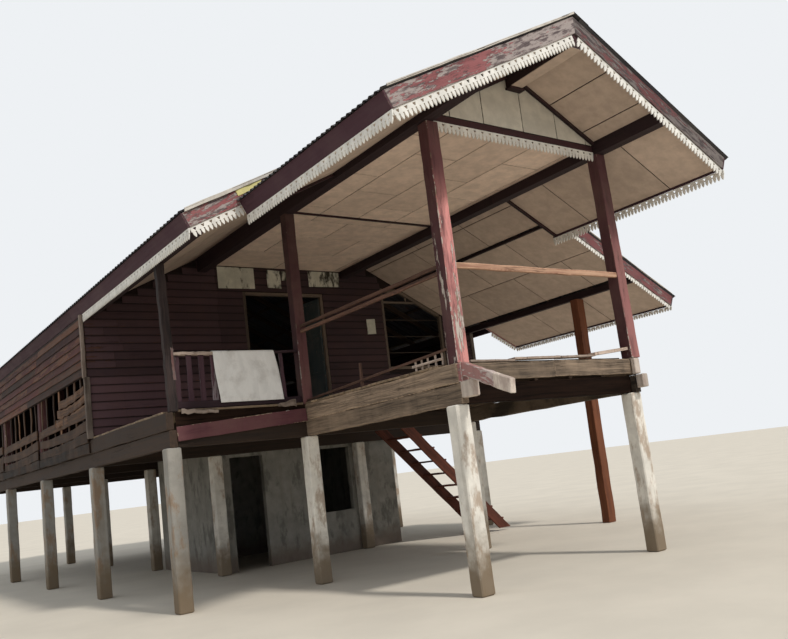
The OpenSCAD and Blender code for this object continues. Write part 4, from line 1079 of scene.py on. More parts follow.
class HOUSE_OT_roof_timber(bpy.types.Operator):
    """Lay the plates, the tie, the ridge beam, the rafters and the purlins"""
    bl_idname = "house.roof_timber"
    bl_label = "Roof timber"

    def execute(self, context):
        plates = Timbers(140)
        half, front = POST / 2 - 0.002, Y_MAIN + FASCIA
        low_left, low_right = (roof_z(MAIN, x) - 0.11 for x in (X_LEFT, X_RIGHT))
        for x, e, ridge, y0, y1, z0 in (
                (X_A, half, PORCH, Y_VERGE + FASCIA, front, Z_PLATE),
                (X_B, half, PORCH, Y_VERGE + FASCIA, front, Z_PLATE),
                (X_A, half, MAIN, front, Y_PLATE, Z_PLATE),
                (X_B, half, MAIN, front, Y_PLATE, Z_PLATE),
                (X_LEFT, half, MAIN, front, Y_TAIL - FASCIA, low_left),
                (X_RIGHT, WING_PLATE[0] / 2, MAIN, front, Y_PLATE,
                 low_right + 0.11 - WING_PLATE[1]),
                (X_RIGHT, half, MAIN, Y_PLATE, Y_TAIL - FASCIA, low_right)):
            plates.prism([(x - e, z0), (x + e, z0), (x + e, roof_z(ridge, x + e) + 0.01),
                          (x - e, roof_z(ridge, x - e) + 0.01)], y0, y1, edge=0.006)
        plates.piece("plates", "plate_paint", "maroon_paint", "wall_plates")
        tie = Timbers(141)
        tie.member((0.07, 0, 4.75), (2.53, 0, 4.75), Z_AXIS, 0.078, 0.058, cuts=12,
                   wander=0.0012)
        mid, wide, low = PORCH[0], RIDGE_BEAM[0] / 2, RIDGE_BEAM[1]
        y0, y1, skin = Y_VERGE + FASCIA, -0.031, 0.005
        tie.prism([(mid - wide, low + skin), (mid + wide - skin, low + skin),
                   (mid + wide - skin, roof_z(PORCH, mid + wide)), (mid, PORCH[1]),
                   (mid - wide, roof_z(PORCH, mid - wide))], y0, y1, edge=0.004)
        tie.member((1.20, -0.075, low - 0.014), (1.42, -0.075, low - 0.014), Y_AXIS, 0.085,
                   0.026, cuts=2, edge=0.003, wander=0.0005)
        tie.piece("tie_and_ridge_beam", "plate_paint", "maroon_paint", "gable_beams")
        # Only the bottom and the right side of the ridge beam are clad in cream; its left side
        # keeps the dark paint: painted shade on that side.
        clad, left, right = Timbers(144), mid - wide + 0.004, mid + wide
        for (x, z), (x1, z1) in (((left, low), (right, low)),
                                 ((right, low + skin), (right, roof_z(PORCH, right)))):
            clad.slab([(x, y0, z), (x, y1, z), (x1, y1, z1), (x1, y0, z1)], skin, edge=0.001)
        clad.piece("ridge_beam_cladding", "ceiling_sheet", "cream_sheet")
        rafters, up = Rows(142), SHEET + RAFTER / 2
        for ridge, x0, x1, y0, y1 in (
                (PORCH, PORCH_LEFT, PORCH_RIGHT, Y_VERGE + FASCIA, Y_MAIN - 0.0454),
                (MAIN, MAIN_LEFT, WING_RIGHT, front, Y_WING_END - 0.07),
                (MAIN, MAIN_LEFT, HOUSE_RIGHT, WALL_FRONT, Y_TAIL - 0.07)):
            for y in spread(y0, y1, 0.9):
                for x in (x0, x1):
                    side = 0.03 if x < ridge[0] else -0.03
                    rafters.run(on_slope(ridge, x + side, y + 0.0225, up),
                                on_slope(ridge, ridge[0] - side, y + 0.0225, up),
                                Y_AXIS, 0.043, RAFTER - 0.006)
        grow_timbers("rafters", rafters, "shade_timber", ["roof_rafters"],
                     chamfer=0.004, wander=0.0)
        purlins, up, tip = Rows(143), SHEET + RAFTER + PURLIN / 2, 0.09
        for ridge, places, y0, y1 in (
                (PORCH, spread(PORCH_LEFT + tip, PORCH[0] - tip, 0.8), Y_VERGE, Y_MAIN),
                (PORCH, spread(PORCH[0] + tip, PORCH_RIGHT - tip, 0.8), Y_VERGE, Y_MAIN),
                (MAIN, spread(MAIN_LEFT + tip, MAIN[0] - tip, 0.8), Y_MAIN, Y_TAIL - FASCIA),
                (MAIN, spread(MAIN[0] + tip, X_RIGHT, 0.8), Y_MAIN, Y_TAIL - FASCIA),
                (MAIN, [WING_RIGHT - tip], Y_MAIN, Y_WING_END - FASCIA)):
            for x in places:
                side = -1 if x < ridge[0] else 1
                purlins.run(on_slope(ridge, x, y0 + FASCIA, up), on_slope(ridge, x, y1, up),
                            (COS, 0, -side * SIN), 0.044, PURLIN - 0.004)
        grow_timbers("purlins", purlins, "shade_timber", ["roof_purlins"],
                     cuts=10, wander=0.0)
        return {"FINISHED"}


class HOUSE_OT_ceilings(bpy.types.Operator):
    """Fit the gable sheets, the ceiling, the soffits and their battens"""
    bl_idname = "house.ceilings"
    bl_label = "Ceilings and soffits"

    def fit(self, name, look, node, ridge, columns):
        """Sheets under a slope, or flat where there is no ridge, in columns of (x0, x1,
        joints), with the narrow dark gaps that show between them."""
        work = Timbers(sum(map(ord, name)))
        for x0, x1, joints in columns:
            for y0, y1 in stretches(joints):
                work.slab([on_slope(ridge, x, y, 0) if ridge else (x, y, Z_CEILING)
                           for x, y in ((x0, y0), (x0, y1), (x1, y1), (x1, y0))],
                          0.008, edge=0.0015, gap=0.0065)
        work.piece(name, look, "cream_sheet", node)

    def execute(self, context):
        gable, y, foot, mid, x0, x1 = Timbers(150), -0.03, 4.791, PORCH[0], 0.07, 2.53
        for a, b in stretches([x0, 0.335, 0.805, 1.395, 1.935, 2.422, x1]):
            top = [(x, y, roof_z(PORCH, x) - 0.002) for x in (b, mid, a)
                   if x != mid or a < mid < b]
            gable.slab([(a, y, foot), (b, y, foot), *top], 0.008, edge=0.0015, gap=0.005)
        gable.piece("gable_sheets", "gable_sheet", "white_sheet", "gable_panel")
        start, end = 0.03, 3.16
        columns = [(x0, 0.6, (start, 0.5, 1.7, 2.9, end)), (0.6, 1.22, (start, 0.95, 2.2, end)),
                   (1.22, 1.84, (start, 0.3, 1.5, 2.7, end)),
                   (1.84, 2.45, (start, 0.83, 2.05, end)), (2.45, x1, (start, 1.6, end))]
        for a, b, joints in ((3.205, 3.45, (0.62, 1.85)), (3.45, 4.15, (1.22,)),
                             (4.15, 5.0, (0.65, 1.86)), (5.0, WALL_FRONT, (1.25, 2.4))):
            columns += [(*pair, (a, b)) for pair in stretches([x0, *joints, x1])]
        # The porch ceiling takes the lit copy of the cream sheet: painted light from below.
        self.fit("ceiling_sheets", "bright_ceiling", "porch_ceiling", None, columns)
        front, gate = Y_VERGE + FASCIA, -0.031
        left, right = mid - RIDGE_BEAM[0] / 2, mid + RIDGE_BEAM[0] / 2
        self.fit("porch_soffit_sheets", "ceiling_sheet", "porch_soffits", PORCH, [
            (PORCH_LEFT, -0.62, (front, -0.1, 1.1, Y_MAIN)),
            (-0.62, -x0, (front, 0.3, 1.5, Y_MAIN)),
            (2.67, PORCH_RIGHT, (front, -0.28, 1.05, Y_MAIN)),
            *((*pair, (front, gate)) for pair in (
                *stretches([x0, 0.67, left]), *stretches([right, 1.85, 2.35, x1])))])
        front, wall = Y_MAIN + FASCIA, WALL_FRONT
        self.fit("main_soffit_sheets", "ceiling_sheet", "main_soffits", MAIN, [
            (-1.68, -0.82, (front, 3.0, 4.4, wall)), (-0.82, -x0, (front, 2.4, 3.9, 5.2, wall)),
            (2.67, 3.2, (front, 3.23, 4.4, wall)), (3.2, 3.71, (front, 2.06, 3.23, 4.6, wall)),
            (3.755, 4.5, (front, 2.95, 4.1, 5.3, wall)), (4.5, 5.21, (front, 2.5, 3.6, 4.8, wall)),
            (5.39, WING_RIGHT, (front, 3.0, 4.2, Y_WING_END - FASCIA))])
        battens, low = Timbers(154), -0.0175
        for a, b, y in ((PORCH_LEFT + 0.004, -0.074, 1.6925), (2.674, 3.586, 1.6925),
                        (0.074, left - 0.004, -0.0529), (right + 0.004, 2.526, -0.0529)):
            battens.member(on_slope(PORCH, a, y, low), on_slope(PORCH, b, y, low), Y_AXIS,
                           0.043, 0.033, edge=0.003, wander=0.0008)
        battens.member(on_slope(MAIN, 3.7325, 1.88, low), on_slope(MAIN, 3.7325, 5.895, low),
                       X_AXIS, 0.043, 0.033, cuts=8, edge=0.003, wander=0.0008)
        for y in (3.1825, WALL_FRONT - 0.023):
            battens.member((0.074, y, 4.7915), (2.526, y, 4.7915), Y_AXIS, 0.042, 0.015,
                           edge=0.002, wander=0.0006)
        battens.piece("dark_battens", "plate_paint", "maroon_paint", "soffit_battens")
        return {"FINISHED"}


class HOUSE_OT_roofing(bpy.types.Operator):
    """Cover the slopes with corrugated sheets and ridge caps"""
    bl_idname = "house.roofing"
    bl_label = "Roofing"

    def slope(self, seed, name, ridge, tip, y0, y1, rows_down):
        """The sheets of one slope, each row lapping the one below it."""
        sizes = bpy.context.scene.house_sizes
        side = 1 if tip > ridge[0] else -1
        start, lap, width = 0.012 / COS, 0.12, sizes.sheet_width
        each = ((abs(tip - ridge[0]) - (LAYER_ROOF + 0.03) * SIN) / COS - start) / rows_down
        down, out = Vector((side * COS, 0, -SIN)), Vector((side * SIN, 0, COS))
        columns = math.ceil((y1 - y0) / width)
        step = (y1 - y0) / columns
        rows = Rows(seed)
        top = Vector((ridge[0], 0, ridge[1])) + out * LAYER_ROOF
        for i in range(columns):
            for j in range(rows_down):
                laps = j < rows_down - 1
                long = each + (lap if laps else 0.0)
                lift = (0.0045 if laps else 0.001) * 0.5 + 0.0006 * (i % 2)
                spot = top + down * (start + j * each + long / 2) + out * lift
                spot.y = y0 + (i + 0.5) * step
                along = down + out * (0.0035 / long if laps else 0.0)
                rows.add(spot, (long, step / width, 1.0), along, (0, side, 0), shake=0.0005)
        waves = round(width / sizes.wave)
        values = {"Wave": width / waves, "Height": sizes.wave_height, "Width": width,
                  "Thickness": 0.0018, "Rows": waves * 8 + 1, "Wander": 0.003}
        grown(name, rows, roof_sheets, values, "roofing_sheet",
              [name.replace("sheets", "roof")])

    def execute(self, context):
        reach, verge = FASCIA + 0.1, (Y_VERGE - FASCIA, Y_MAIN)
        front, tail = Y_MAIN - FASCIA, Y_TAIL + FASCIA
        for i, slope in enumerate((
                ("porch_sheets_left", PORCH, PORCH_LEFT - reach, *verge, 2),
                ("porch_sheets_right", PORCH, PORCH_RIGHT + reach, *verge, 2),
                ("main_sheets_left", MAIN, MAIN_LEFT - reach, front, tail, 3),
                ("main_sheets_right", MAIN, HOUSE_RIGHT + reach, Y_WING_END, tail, 3),
                ("wing_sheets", MAIN, WING_RIGHT + reach, front, Y_WING_END, 4))):
            self.slope(160 + i, *slope)
        caps, up, thick = Timbers(165), LAYER_ROOF + 0.006 + 0.024, 0.0025
        for (x, z), y0, y1 in ((PORCH, *verge), (MAIN, front, tail)):
            for i, (a, b) in enumerate(stretches(spread(y0, y1, 1.7))):
                lift = 0.0012 * (i % 2)
                for side in (-1, 1):
                    low, high = (on_slope((x, z), x + side * reach, 0, up + lift)
                                 for reach in (0.2, 0.004))
                    quad = [Vector((p.x, y, p.z)) + Z_AXIS * thick for p, y in (
                        (low, a), (low, b), (high, b), (high, a))]
                    caps.slab(quad[::side], thick, edge=0.0005)
                top = z + up / COS - 0.001
                caps.member((x, a, top), (x, b, top), X_AXIS, 0.014, 0.007, cuts=2, edge=0.002,
                            wander=0.0003)
        caps.piece("ridge_capping", "roofing_sheet", "roofing", "ridge_caps")
        return {"FINISHED"}


class HOUSE_OT_edge_boards(bpy.types.Operator):
    """Nail on the bargeboards, the eave boards and the pale flashing"""
    bl_idname = "house.edge_boards"
    bl_label = "Edge boards"

    def execute(self, context):
        middle, half = (BARGE_LOW + LAYER_ROOF) / 2, FASCIA / 2
        size = (LAYER_ROOF - BARGE_LOW - 0.002, FASCIA - 0.003)
        barges = Timbers(170)
        for ridge, low, high, y, cuts, wear, tone in (
                (PORCH, PORCH_LEFT, PORCH[0], Y_VERGE + half, 22,
                 (0.62, 0.44, 0.5, 0.66, 0.72), 0.2),
                (PORCH, PORCH_RIGHT, PORCH[0], Y_VERGE + half, 20, (0.8, 0.45, 0.6), -0.7),
                (MAIN, MAIN_LEFT, MAIN[0], Y_MAIN + half, 18, (0.5, 0.4), 0.2),
                (MAIN, WING_RIGHT, MAIN[0], Y_MAIN + half, 22, (0.45, 0.4), -0.3),
                (MAIN, MAIN_LEFT, MAIN[0], Y_TAIL - half, 16, 0.5, None),
                (MAIN, HOUSE_RIGHT, MAIN[0], Y_TAIL - half, 16, 0.5, None),
                (MAIN, WING_RIGHT, LAPS_RIGHT, Y_WING_END - half, 6, 0.5, None)):
            side = 1 if high > low else -1
            barges.member(off_slope(ridge, low, y, middle),
                          on_slope(ridge, high - side * 0.001, y, middle),
                          (-side * SIN, 0, COS), *size, cuts=cuts, edge=0.004, wander=0.0012,
                          wear=wear, skew=(0.0, TAN), tone=tone)
        barges.piece("raking_boards", "board_paint", "faded_maroon_paint", "bargeboards")
        eaves = Timbers(171)
        for ridge, x, y0, y1 in ((PORCH, PORCH_LEFT, Y_VERGE, Y_MAIN),
                                 (PORCH, PORCH_RIGHT, Y_VERGE, Y_MAIN),
                                 (MAIN, MAIN_LEFT, Y_MAIN, Y_TAIL),
                                 (MAIN, WING_RIGHT, Y_MAIN, Y_WING_END),
                                 (MAIN, HOUSE_RIGHT, Y_WING_END, Y_TAIL)):
            side = 1 if x > ridge[0] else -1
            for a, b in stretches(spread(y0, y1, 4.6)):
                eaves.member(off_slope(ridge, x, a + 0.001, middle, half),
                             off_slope(ridge, x, b - 0.001, middle, half),
                             (side * SIN, 0, COS), *size, cuts=14, edge=0.004, wander=0.0012,
                             wear=0.4)
        eaves.piece("eave_boards", "eave_paint", "faded_maroon_paint", "eave_fascias")
        flashing = Timbers(172)
        for ridge, x, y, wide in ((PORCH, PORCH_LEFT - 0.05, Y_VERGE, 0.022),
                                  (MAIN, MAIN_LEFT - 0.05, Y_MAIN, 0.04),
                                  (MAIN, WING_RIGHT + 0.05, Y_MAIN, 0.014)):
            side = 1 if ridge[0] > x else -1
            up, y = LAYER_ROOF + 0.034 - wide / 2, y - 0.017
            flashing.member(on_slope(ridge, x, y, up),
                            on_slope(ridge, ridge[0] - side * 0.001, y, up),
                            (-side * SIN, 0, COS), wide, 0.012, cuts=16, edge=0.002,
                            wander=0.0015, skew=(TAN, TAN), tone=0.8)
        flashing.piece("verge_strips", "verge_flashing", "cream_sheet")
        Timbers(173).member(
            on_slope(MAIN, -1.28, Y_MAIN - 0.006, 0.13),
            on_slope(MAIN, -0.96, Y_MAIN - 0.005, 0.128), (-SIN, 0, COS), 0.1, 0.008, edge=0.002,
            wander=0.003).piece("yellow_scrap", "yellow_sheet", "cream_sheet")
        return {"FINISHED"}


def fret_unit():
    """One period of the fretwork: two pointed teeth under a band with a pierced triangle."""
    band = 0.48
    leaf = [(0.2, 0.0), (0.14, 0.2), (0.17, 0.48), (0.29, 0.74), (0.5, 1.0), (0.71, 0.74),
            (0.83, 0.48), (0.86, 0.2), (0.8, 0.0)]
    outline = [(0.0, 0.0), (0.0, -band)]
    for i in range(2):
        outline += [((i + x) / 2, -band - z * (1 - band)) for x, z in leaf]
    outline += [(1.0, -band), (1.0, 0.0)]
    hole = [(0.29, -0.13), (0.71, -0.13), (0.58, -0.33), (0.5, -0.41), (0.42, -0.33)]
    flat = outline + hole
    count, faces = len(flat), []
    for tri in tessellate_polygon([[Vector((x, z, 0)) for x, z in ring]
                                   for ring in (outline, hole)]):
        (ax, az), (bx, bz), (cx, cz) = (flat[i] for i in tri)
        turn = (bx - ax) * (cz - az) - (bz - az) * (cx - ax)
        a, b, c = tri if turn > 0 else tri[::-1]
        faces += [(a, b, c), (count + c, count + b, count + a)]
    for ring in ([*range(len(outline))], [*range(len(outline), count)]):
        faces += [(a, b, count + b, count + a) for a, b in zip(ring, ring[1:] + ring[:1])]
    unit = built("fret_unit", [(x, y, z) for y in (0.0, 1.0) for x, z in flat], faces)
    face_outwards(unit.data)
    return unit


class HOUSE_OT_fretwork(bpy.types.Operator):
    """Hang the white fretwork under the edge boards and the tie"""
    bl_idname = "house.fretwork"
    bl_label = "Fretwork"

    def hang(self, seed, name, strips):
        """Rows of units between two points, whose faces look along out."""
        rows, period = Rows(seed), 2 * bpy.context.scene.house_sizes.tooth
        for a, b, out, drop in strips:
            a, b = Vector(a), Vector(b)
            count = max(1, round((b - a).length / period))
            step = (b - a) / count
            for i in range(count):
                rows.add(a + step * i, (step.length, 0.0115, drop), step, -Vector(out),
                         shake=0.003)
        grown(name, rows, unit_rows, {"Unit": fret_unit(), "Wander": 0.004}, "fret_white",
              [name + "work"])

    def execute(self, context):
        sizes = context.scene.house_sizes
        front = (0, -1, 0)

        def rake(ridge, x0, x1, y, drop):
            """A strip under a bargeboard, always laid from left to right."""
            ends = [Vector((x, y, roof_z(ridge, x) - 0.02)) for x in sorted((x0, x1))]
            return (*ends, front, drop)

        def eave(ridge, x, y0, y1, drop):
            ends = [off_slope(ridge, x, y, BARGE_LOW, FASCIA - 0.0005) for y in (y0, y1)]
            return (*ends, (1, 0, 0), drop) if x > ridge[0] else (*ends[::-1], (-1, 0, 0), drop)

        lead, back, edge, drop, wing = 0.05, 0.015, 0.012, sizes.fret_drop, sizes.wing_drop
        self.hang(180, "porch_fret", [
            rake(PORCH, PORCH_LEFT, PORCH[0] - lead, Y_VERGE + back, drop),
            rake(PORCH, PORCH[0] + lead, PORCH_RIGHT, Y_VERGE + back, drop),
            eave(PORCH, PORCH_LEFT, Y_VERGE, Y_MAIN, drop),
            eave(PORCH, PORCH_RIGHT, Y_VERGE, Y_MAIN, drop),
            ((0.07, -0.03, Z_TIE), (2.53, -0.03, Z_TIE), front, drop)])
        self.hang(181, "main_fret", [
            rake(MAIN, MAIN_LEFT, PORCH_LEFT - 0.024, Y_MAIN + back, drop),
            rake(MAIN, PORCH_RIGHT + 0.024, WING_RIGHT, Y_MAIN + back, wing),
            eave(MAIN, MAIN_LEFT, Y_MAIN, WALL_FRONT, drop),
            eave(MAIN, WING_RIGHT, Y_MAIN, Y_WING_END - edge, wing),
            rake(MAIN, HOUSE_RIGHT + FASCIA, WING_RIGHT, Y_WING_END - edge, wing)])
        return {"FINISHED"}


class HOUSE_OT_walls(bpy.types.Operator):
    """Board the walls with laps and fit the corner boards"""
    bl_idname = "house.walls"
    bl_label = "Walls"

    def execute(self, context):
        lap, tilt = context.scene.house_sizes.lap, context.scene.house_sizes.lap_tilt
        for side in ("front", "left", "right", "back"):
            # The walls' own meshes take the near-black lining: painted shade of the inside.
            finish_node(frame["nodes"][side + "_wall"], "wall_lining")
        chance = np.random.default_rng(190)
        deep, cover, proud, peak = 0.018, lap + 0.022, 0.011, 5.6
        sides = {"front": (Y_AXIS, WALL_FRONT - proud), "back": (Y_AXIS, WALL_BACK + proud),
                 "left": (X_AXIS, WALL_LEFT - proud), "right": (X_AXIS, WALL_RIGHT + proud)}

        def feet(z0, z1):
            return [z0 + lap * i for i in range(int((z1 - z0) / lap))]

        def lay(rows, a, b, z, side, wear, tone=None):
            """One board from a to b along its wall, its foot at z."""
            facing, place = sides[side]
            lean, z = tilt if side in ("front", "left") else -tilt, z + cover / 2
            ends = [(e, place, z) if facing is Y_AXIS else (place, e, z)
                    for e in ((b, a) if side in ("back", "left") else (a, b))]
            rows.run(*ends, facing * lean + Z_AXIS, cover, deep, wear, 0.0008, tone)

        def butts(a, b):
            """A run in lengths of two to four metres."""
            places = [a]
            while b - places[-1] > 4.2:
                places.append(places[-1] + chance.uniform(2.2, 3.8))
            return list(zip([p + 0.001 for p in places], [p - 0.001 for p in places[1:]] + [b]))

        def under_roof(z, low):
            reach = (MAIN[1] + proud - z - cover) / TAN
            return max(MAIN[0] - reach, low), min(MAIN[0] + reach, LAPS_RIGHT)

        def holes_at(z, *holes):
            return [hole[:2] for hole in holes if z + cover > hole[2] and z < hole[3]]

        rows = Rows(191)
        for z in feet(Z_JOIST, peak):
            ends = under_roof(z, LAPS_LEFT if z > Z_DECK - 0.03 else 2.67)
            for a, b in clear_runs(*ends, holes_at(z, DOOR, WINDOW)):
                joint = 0.22 + chance.uniform(-0.02, 0.02)
                for e, f in [(a, joint), (joint, b)] if a < 0.1 < 0.5 < b else [(a, b)]:
                    if f < 0.5:
                        worn = LAPS_LEFT + chance.uniform(0.25, 0.6) if 3.1 < z < 3.9 else e
                        if worn > e:
                            lay(rows, e, worn, z, "front", chance.uniform(0.7, 1.0), 0.6)
                        lay(rows, max(worn, e) + 0.001, f, z, "front",
                            chance.uniform(0.2, 0.5),
                            chance.uniform(0.25, 0.85) + (1.5 if z < 3.0 else 0.0))
                    else:
                        for c, d in butts(e, f):
                            lay(rows, c, d, z, "front", chance.uniform(0.05, 0.4),
                                chance.uniform(-0.1, 0.3))
        grow_timbers("front_laps", rows, "wall_paint", cuts=10,
                     chamfer=0.0025, wander=0.001)
        rows = Rows(192)
        for z in feet(STRIP_TOP, 4.0):
            for c, d in butts(WALL_FRONT, WALL_BACK):
                lay(rows, c, d, z, "left", chance.uniform(0.3, 1.1), chance.uniform(-0.5, 0.7))
        grow_timbers("left_laps", rows, "side_wall_paint", cuts=16,
                     chamfer=0.0025, wander=0.005)
        rows = Rows(193)
        runs = [(z, "right", WALL_FRONT, WALL_BACK, RIGHT_WINDOW) for z in feet(Z_JOIST, 3.72)]
        runs += [(z, "back", *under_roof(z, LAPS_LEFT), BACK_WINDOW)
                 for z in feet(Z_JOIST, peak)]
        for z, side, start, end, window in runs:
            for a, b in clear_runs(start, end, holes_at(z, window)):
                for c, d in butts(a, b):
                    lay(rows, c, d, z, side, chance.uniform(0.25, 0.9))
        grow_timbers("right_and_back_laps", rows, "side_wall_paint",
                     cuts=8, chamfer=0.0025, wander=0.0012)
        corners = Timbers(194)
        # The upper left corner board is toned paler than the others: partly its own paler colour,
        # partly painted light where the eave shades it.
        for x, y, z0, z1, wide, wander, tone in (
                (-1.862, 5.885, 3.06, 3.97, 0.052, 0.002, 0.1),
                (-1.835, 5.88, 2.2, 3.07, 0.08, 0.002, -0.45),
                (5.395, 5.89, 2.0, 3.7, 0.07, 0.001, -0.5),
                (5.395, 15.105, 2.0, 3.7, 0.07, 0.001, -0.5),
                (-1.845, 15.105, 2.0, 3.95, 0.07, 0.001, -0.5)):
            corners.member((x, y, z0), (x, y, z1), X_AXIS, wide, 0.05, cuts=8, edge=0.006,
                           wander=wander, tone=tone)
        corners.piece("corner_boards", "pale_timber", "weathered_wood")
        return {"FINISHED"}


class HOUSE_OT_parapet(bpy.types.Operator):
    """Fit the rough planks, the leaning slats and the veranda's red board"""
    bl_idname = "house.parapet"
    bl_label = "Left parapet"

    def execute(self, context):
        planks, x = Timbers(200), WALL_LEFT + 0.008
        for i, z in enumerate((2.0, 2.16, 2.32, 2.5)):
            for row in range(3):
                y = WALL_FRONT + 0.05 + row * 3.06
                planks.member((x - 0.012 * (i % 2), y, z + 0.075),
                              (x - 0.012 * ((i + 1) % 2), y + 3.0 - 0.05 * ((i + row) % 3),
                               z + 0.06 - 0.02 * (i % 2)),
                              Z_AXIS, 0.145, 0.022, cuts=14, edge=0.004, wander=0.004,
                              sag=0.02 * (i % 3), taper=(1.0, 0.85), tone=-0.6 + 0.2 * i)
        for i, z in enumerate((2.655, 2.79, 2.925)):
            planks.member((x - 0.006 * (i % 2), 6.05, z), (x - 0.01, 7.72 - 0.13 * i, z - 0.05),
                          Z_AXIS, 0.118, 0.026, cuts=14, edge=0.008, wander=0.006, sag=0.035,
                          taper=(0.92, 1.04), tone=0.75 - 0.2 * i)
        chance, tones = np.random.default_rng(201), (-0.5, 0.1, -0.2, 1.9, -0.4)
        for row in HOUSE_ROWS[:3]:
            for i, y in enumerate(spread(row + 0.2, row + 2.8, 0.42)):
                lean, wide = chance.normal(0, 0.05), chance.uniform(0.045, 0.09)
                x = MAIN_LEFT + chance.uniform(0.006, 0.016)
                planks.member((x, y, 2.23), (x, y + lean, 3.24), Y_AXIS, wide, 0.016,
                              edge=0.003, wander=0.003, tone=tones[i % 5])
        planks.piece("parapet_planks", "plank_timber", "weathered_wood", "left_parapet")
        x0, x1, y = X_LEFT + 0.05, -0.047, 2.9275
        Timbers(202).member(
            (x0, y, 1.95), (x1, y, 2.07), Z_AXIS, 0.165, 0.023, cuts=14, edge=0.004,
            wander=0.0015, wear=(0.08, 0.05), tone=1.35).piece(
            "red_board", "post_paint", "maroon_paint", "veranda_fascia")
        # The veranda's thin edge board is near-black: painted shade under the floor's edge.
        Timbers(203).member(
            (x0, 2.948, Z_UPPER), (x1, 2.948, Z_UPPER), Z_AXIS, 0.19, 0.008, cuts=12,
            edge=0.002, wander=0.001, tone=0.6).piece(
            "veranda_edge_board", "dark_timber", "dark_wood")
        return {"FINISHED"}


